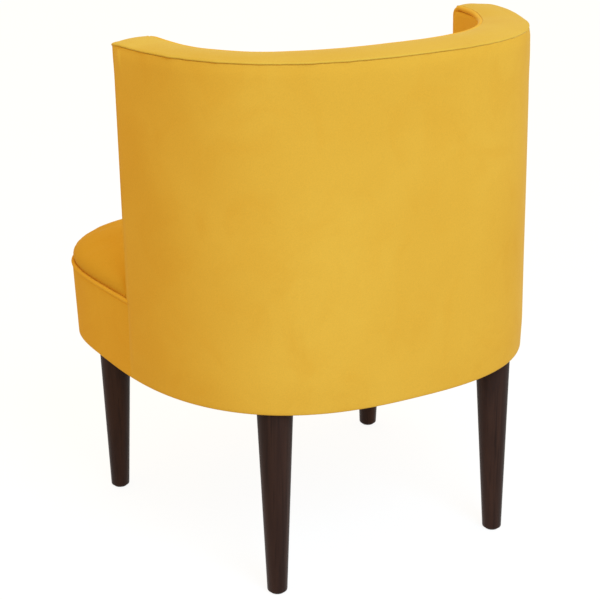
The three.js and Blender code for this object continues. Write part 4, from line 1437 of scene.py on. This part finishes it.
class CHAIR_OT_stage(bpy.types.Operator):
    """Set the floor, the lamps and the camera"""

    bl_idname = "chair.stage"
    bl_label = "Stage"

    def execute(self, context):
        stage = context.scene.chair_stage
        self.camera(context, stage)
        self.floor(stage)
        self.key_lamp(context, stage)
        self.world(context, stage)
        context.scene.view_settings.view_transform = "Standard"
        return {"FINISHED"}

    @staticmethod
    def camera(context, stage):
        """The camera stands where the photograph was taken from."""
        azimuth, elevation = math.radians(stage.camera_azimuth), math.radians(stage.camera_elevation)
        level, rise = math.cos(elevation), math.sin(elevation)
        back = Vector((math.sin(azimuth) * level, -math.cos(azimuth) * level, rise))
        right = Vector((math.cos(azimuth), math.sin(azimuth), 0))
        up = back.cross(right)
        data = bpy.data.cameras.new("camera")
        data.lens = stage.camera_lens
        data.sensor_width = 36
        camera = bpy.data.objects.new("camera", data)
        turn = Matrix((right, up, back)).transposed().to_4x4()
        camera.matrix_world = Matrix.Translation(stage.camera_place) @ turn
        context.collection.objects.link(camera)
        context.scene.camera = camera

    @staticmethod
    def key_lamp(context, stage):
        """A large soft lamp that looks at the middle of the chair."""
        middle = Vector((0, 0, 0.45))
        data = bpy.data.lights.new("key_lamp", "AREA")
        data.shape = "DISK"
        data.size = stage.key_size
        data.energy = stage.key_power
        data.color = stage.key_colour
        lamp = bpy.data.objects.new("key_lamp", data)
        lamp.location = stage.key_place
        lamp.rotation_euler = (Vector(stage.key_place) - middle).to_track_quat("Z", "Y").to_euler()
        context.collection.objects.link(lamp)

    @staticmethod
    def floor(stage):
        """A wide pale floor that shows white to the camera and still takes the chair's shadow."""
        deselect()
        bpy.ops.mesh.primitive_circle_add(
            vertices=96, radius=stage.floor_radius, fill_type="NGON", location=(0, 0, stage.floor_level)
        )
        floor = bpy.context.object
        floor.name = "floor"
        bpy.ops.object.transform_apply(location=True, rotation=True, scale=True)
        material = bpy.data.materials.new("floor")
        material.use_nodes = True
        tree = material.node_tree
        tree.nodes.clear()
        plain = add_node(tree, "ShaderNodeBsdfDiffuse", {"Color": (stage.floor_grey,) * 3})
        shadow = add_node(tree, "ShaderNodeBsdfDiffuse", {"Color": (stage.floor_shadow,) * 3})
        glow = add_node(tree, "ShaderNodeEmission", {"Strength": stage.floor_glow})
        seen = add_node(tree, "ShaderNodeAddShader", {0: shadow.outputs[0], 1: glow.outputs[0]})
        show_to_camera(tree, plain, seen, "ShaderNodeOutputMaterial")
        floor.data.materials.append(material)
        deselect()

    @staticmethod
    def world(context, stage):
        """Even light from all round, white where the camera looks past the floor."""
        world = bpy.data.worlds.new("studio")
        world.use_nodes = True
        context.scene.world = world
        tree = world.node_tree
        tree.nodes.clear()
        ambient = {"Color": stage.ambient_colour, "Strength": stage.ambient}
        light = add_node(tree, "ShaderNodeBackground", ambient)
        white = add_node(tree, "ShaderNodeBackground", {"Color": (1, 1, 1), "Strength": 1.0})
        show_to_camera(tree, light, white, "ShaderNodeOutputWorld")


PIECES = [
    CHAIR_OT_frame_finish, CHAIR_OT_legs, CHAIR_OT_underside, CHAIR_OT_outside_back, CHAIR_OT_seat_band,
    CHAIR_OT_seat, CHAIR_OT_inside_back, CHAIR_OT_arm_fronts, CHAIR_OT_rim, CHAIR_OT_cords, CHAIR_OT_stage,
]
GROUPS = {
    "chair_outline": ChairOutline,
    "chair_cloth": ChairCloth,
    "chair_wood": ChairWood,
    "chair_stage": ChairStage,
}


class CHAIR_PT_panel(bpy.types.Panel):
    """Sizes, finishes and pieces of the chair"""

    bl_idname = "CHAIR_PT_panel"
    bl_label = "Slipper Chair"
    bl_space_type = "VIEW_3D"
    bl_region_type = "UI"
    bl_category = "Slipper Chair"

    def draw(self, context):
        for group in GROUPS:
            box = self.layout.box()
            settings = getattr(context.scene, group)
            for name in type(settings).__annotations__:
                box.prop(settings, name)
        for piece in PIECES:
            self.layout.operator(piece.bl_idname)


def register():
    """Register the groups, the operators and the panel."""
    for group in GROUPS.values():
        bpy.utils.register_class(group)
    for piece in PIECES:
        bpy.utils.register_class(piece)
    bpy.utils.register_class(CHAIR_PT_panel)
    for name, group in GROUPS.items():
        setattr(bpy.types.Scene, name, PointerProperty(type=group))


def unregister():
    """Take everything off again."""
    for name in GROUPS:
        delattr(bpy.types.Scene, name)
    bpy.utils.unregister_class(CHAIR_PT_panel)
    for piece in reversed(PIECES):
        bpy.utils.unregister_class(piece)
    for group in reversed(list(GROUPS.values())):
        bpy.utils.unregister_class(group)


def main():
    """Build the chair and its stage."""
    register()
    bpy.ops.chair.frame_finish()
    bpy.ops.chair.legs()
    bpy.ops.chair.underside()
    bpy.ops.chair.outside_back()
    bpy.ops.chair.seat_band()
    bpy.ops.chair.seat()
    bpy.ops.chair.inside_back()
    bpy.ops.chair.arm_fronts()
    bpy.ops.chair.rim()
    bpy.ops.chair.cords()
    bpy.ops.chair.stage()
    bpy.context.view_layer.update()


if __name__ == "__main__":
    main()
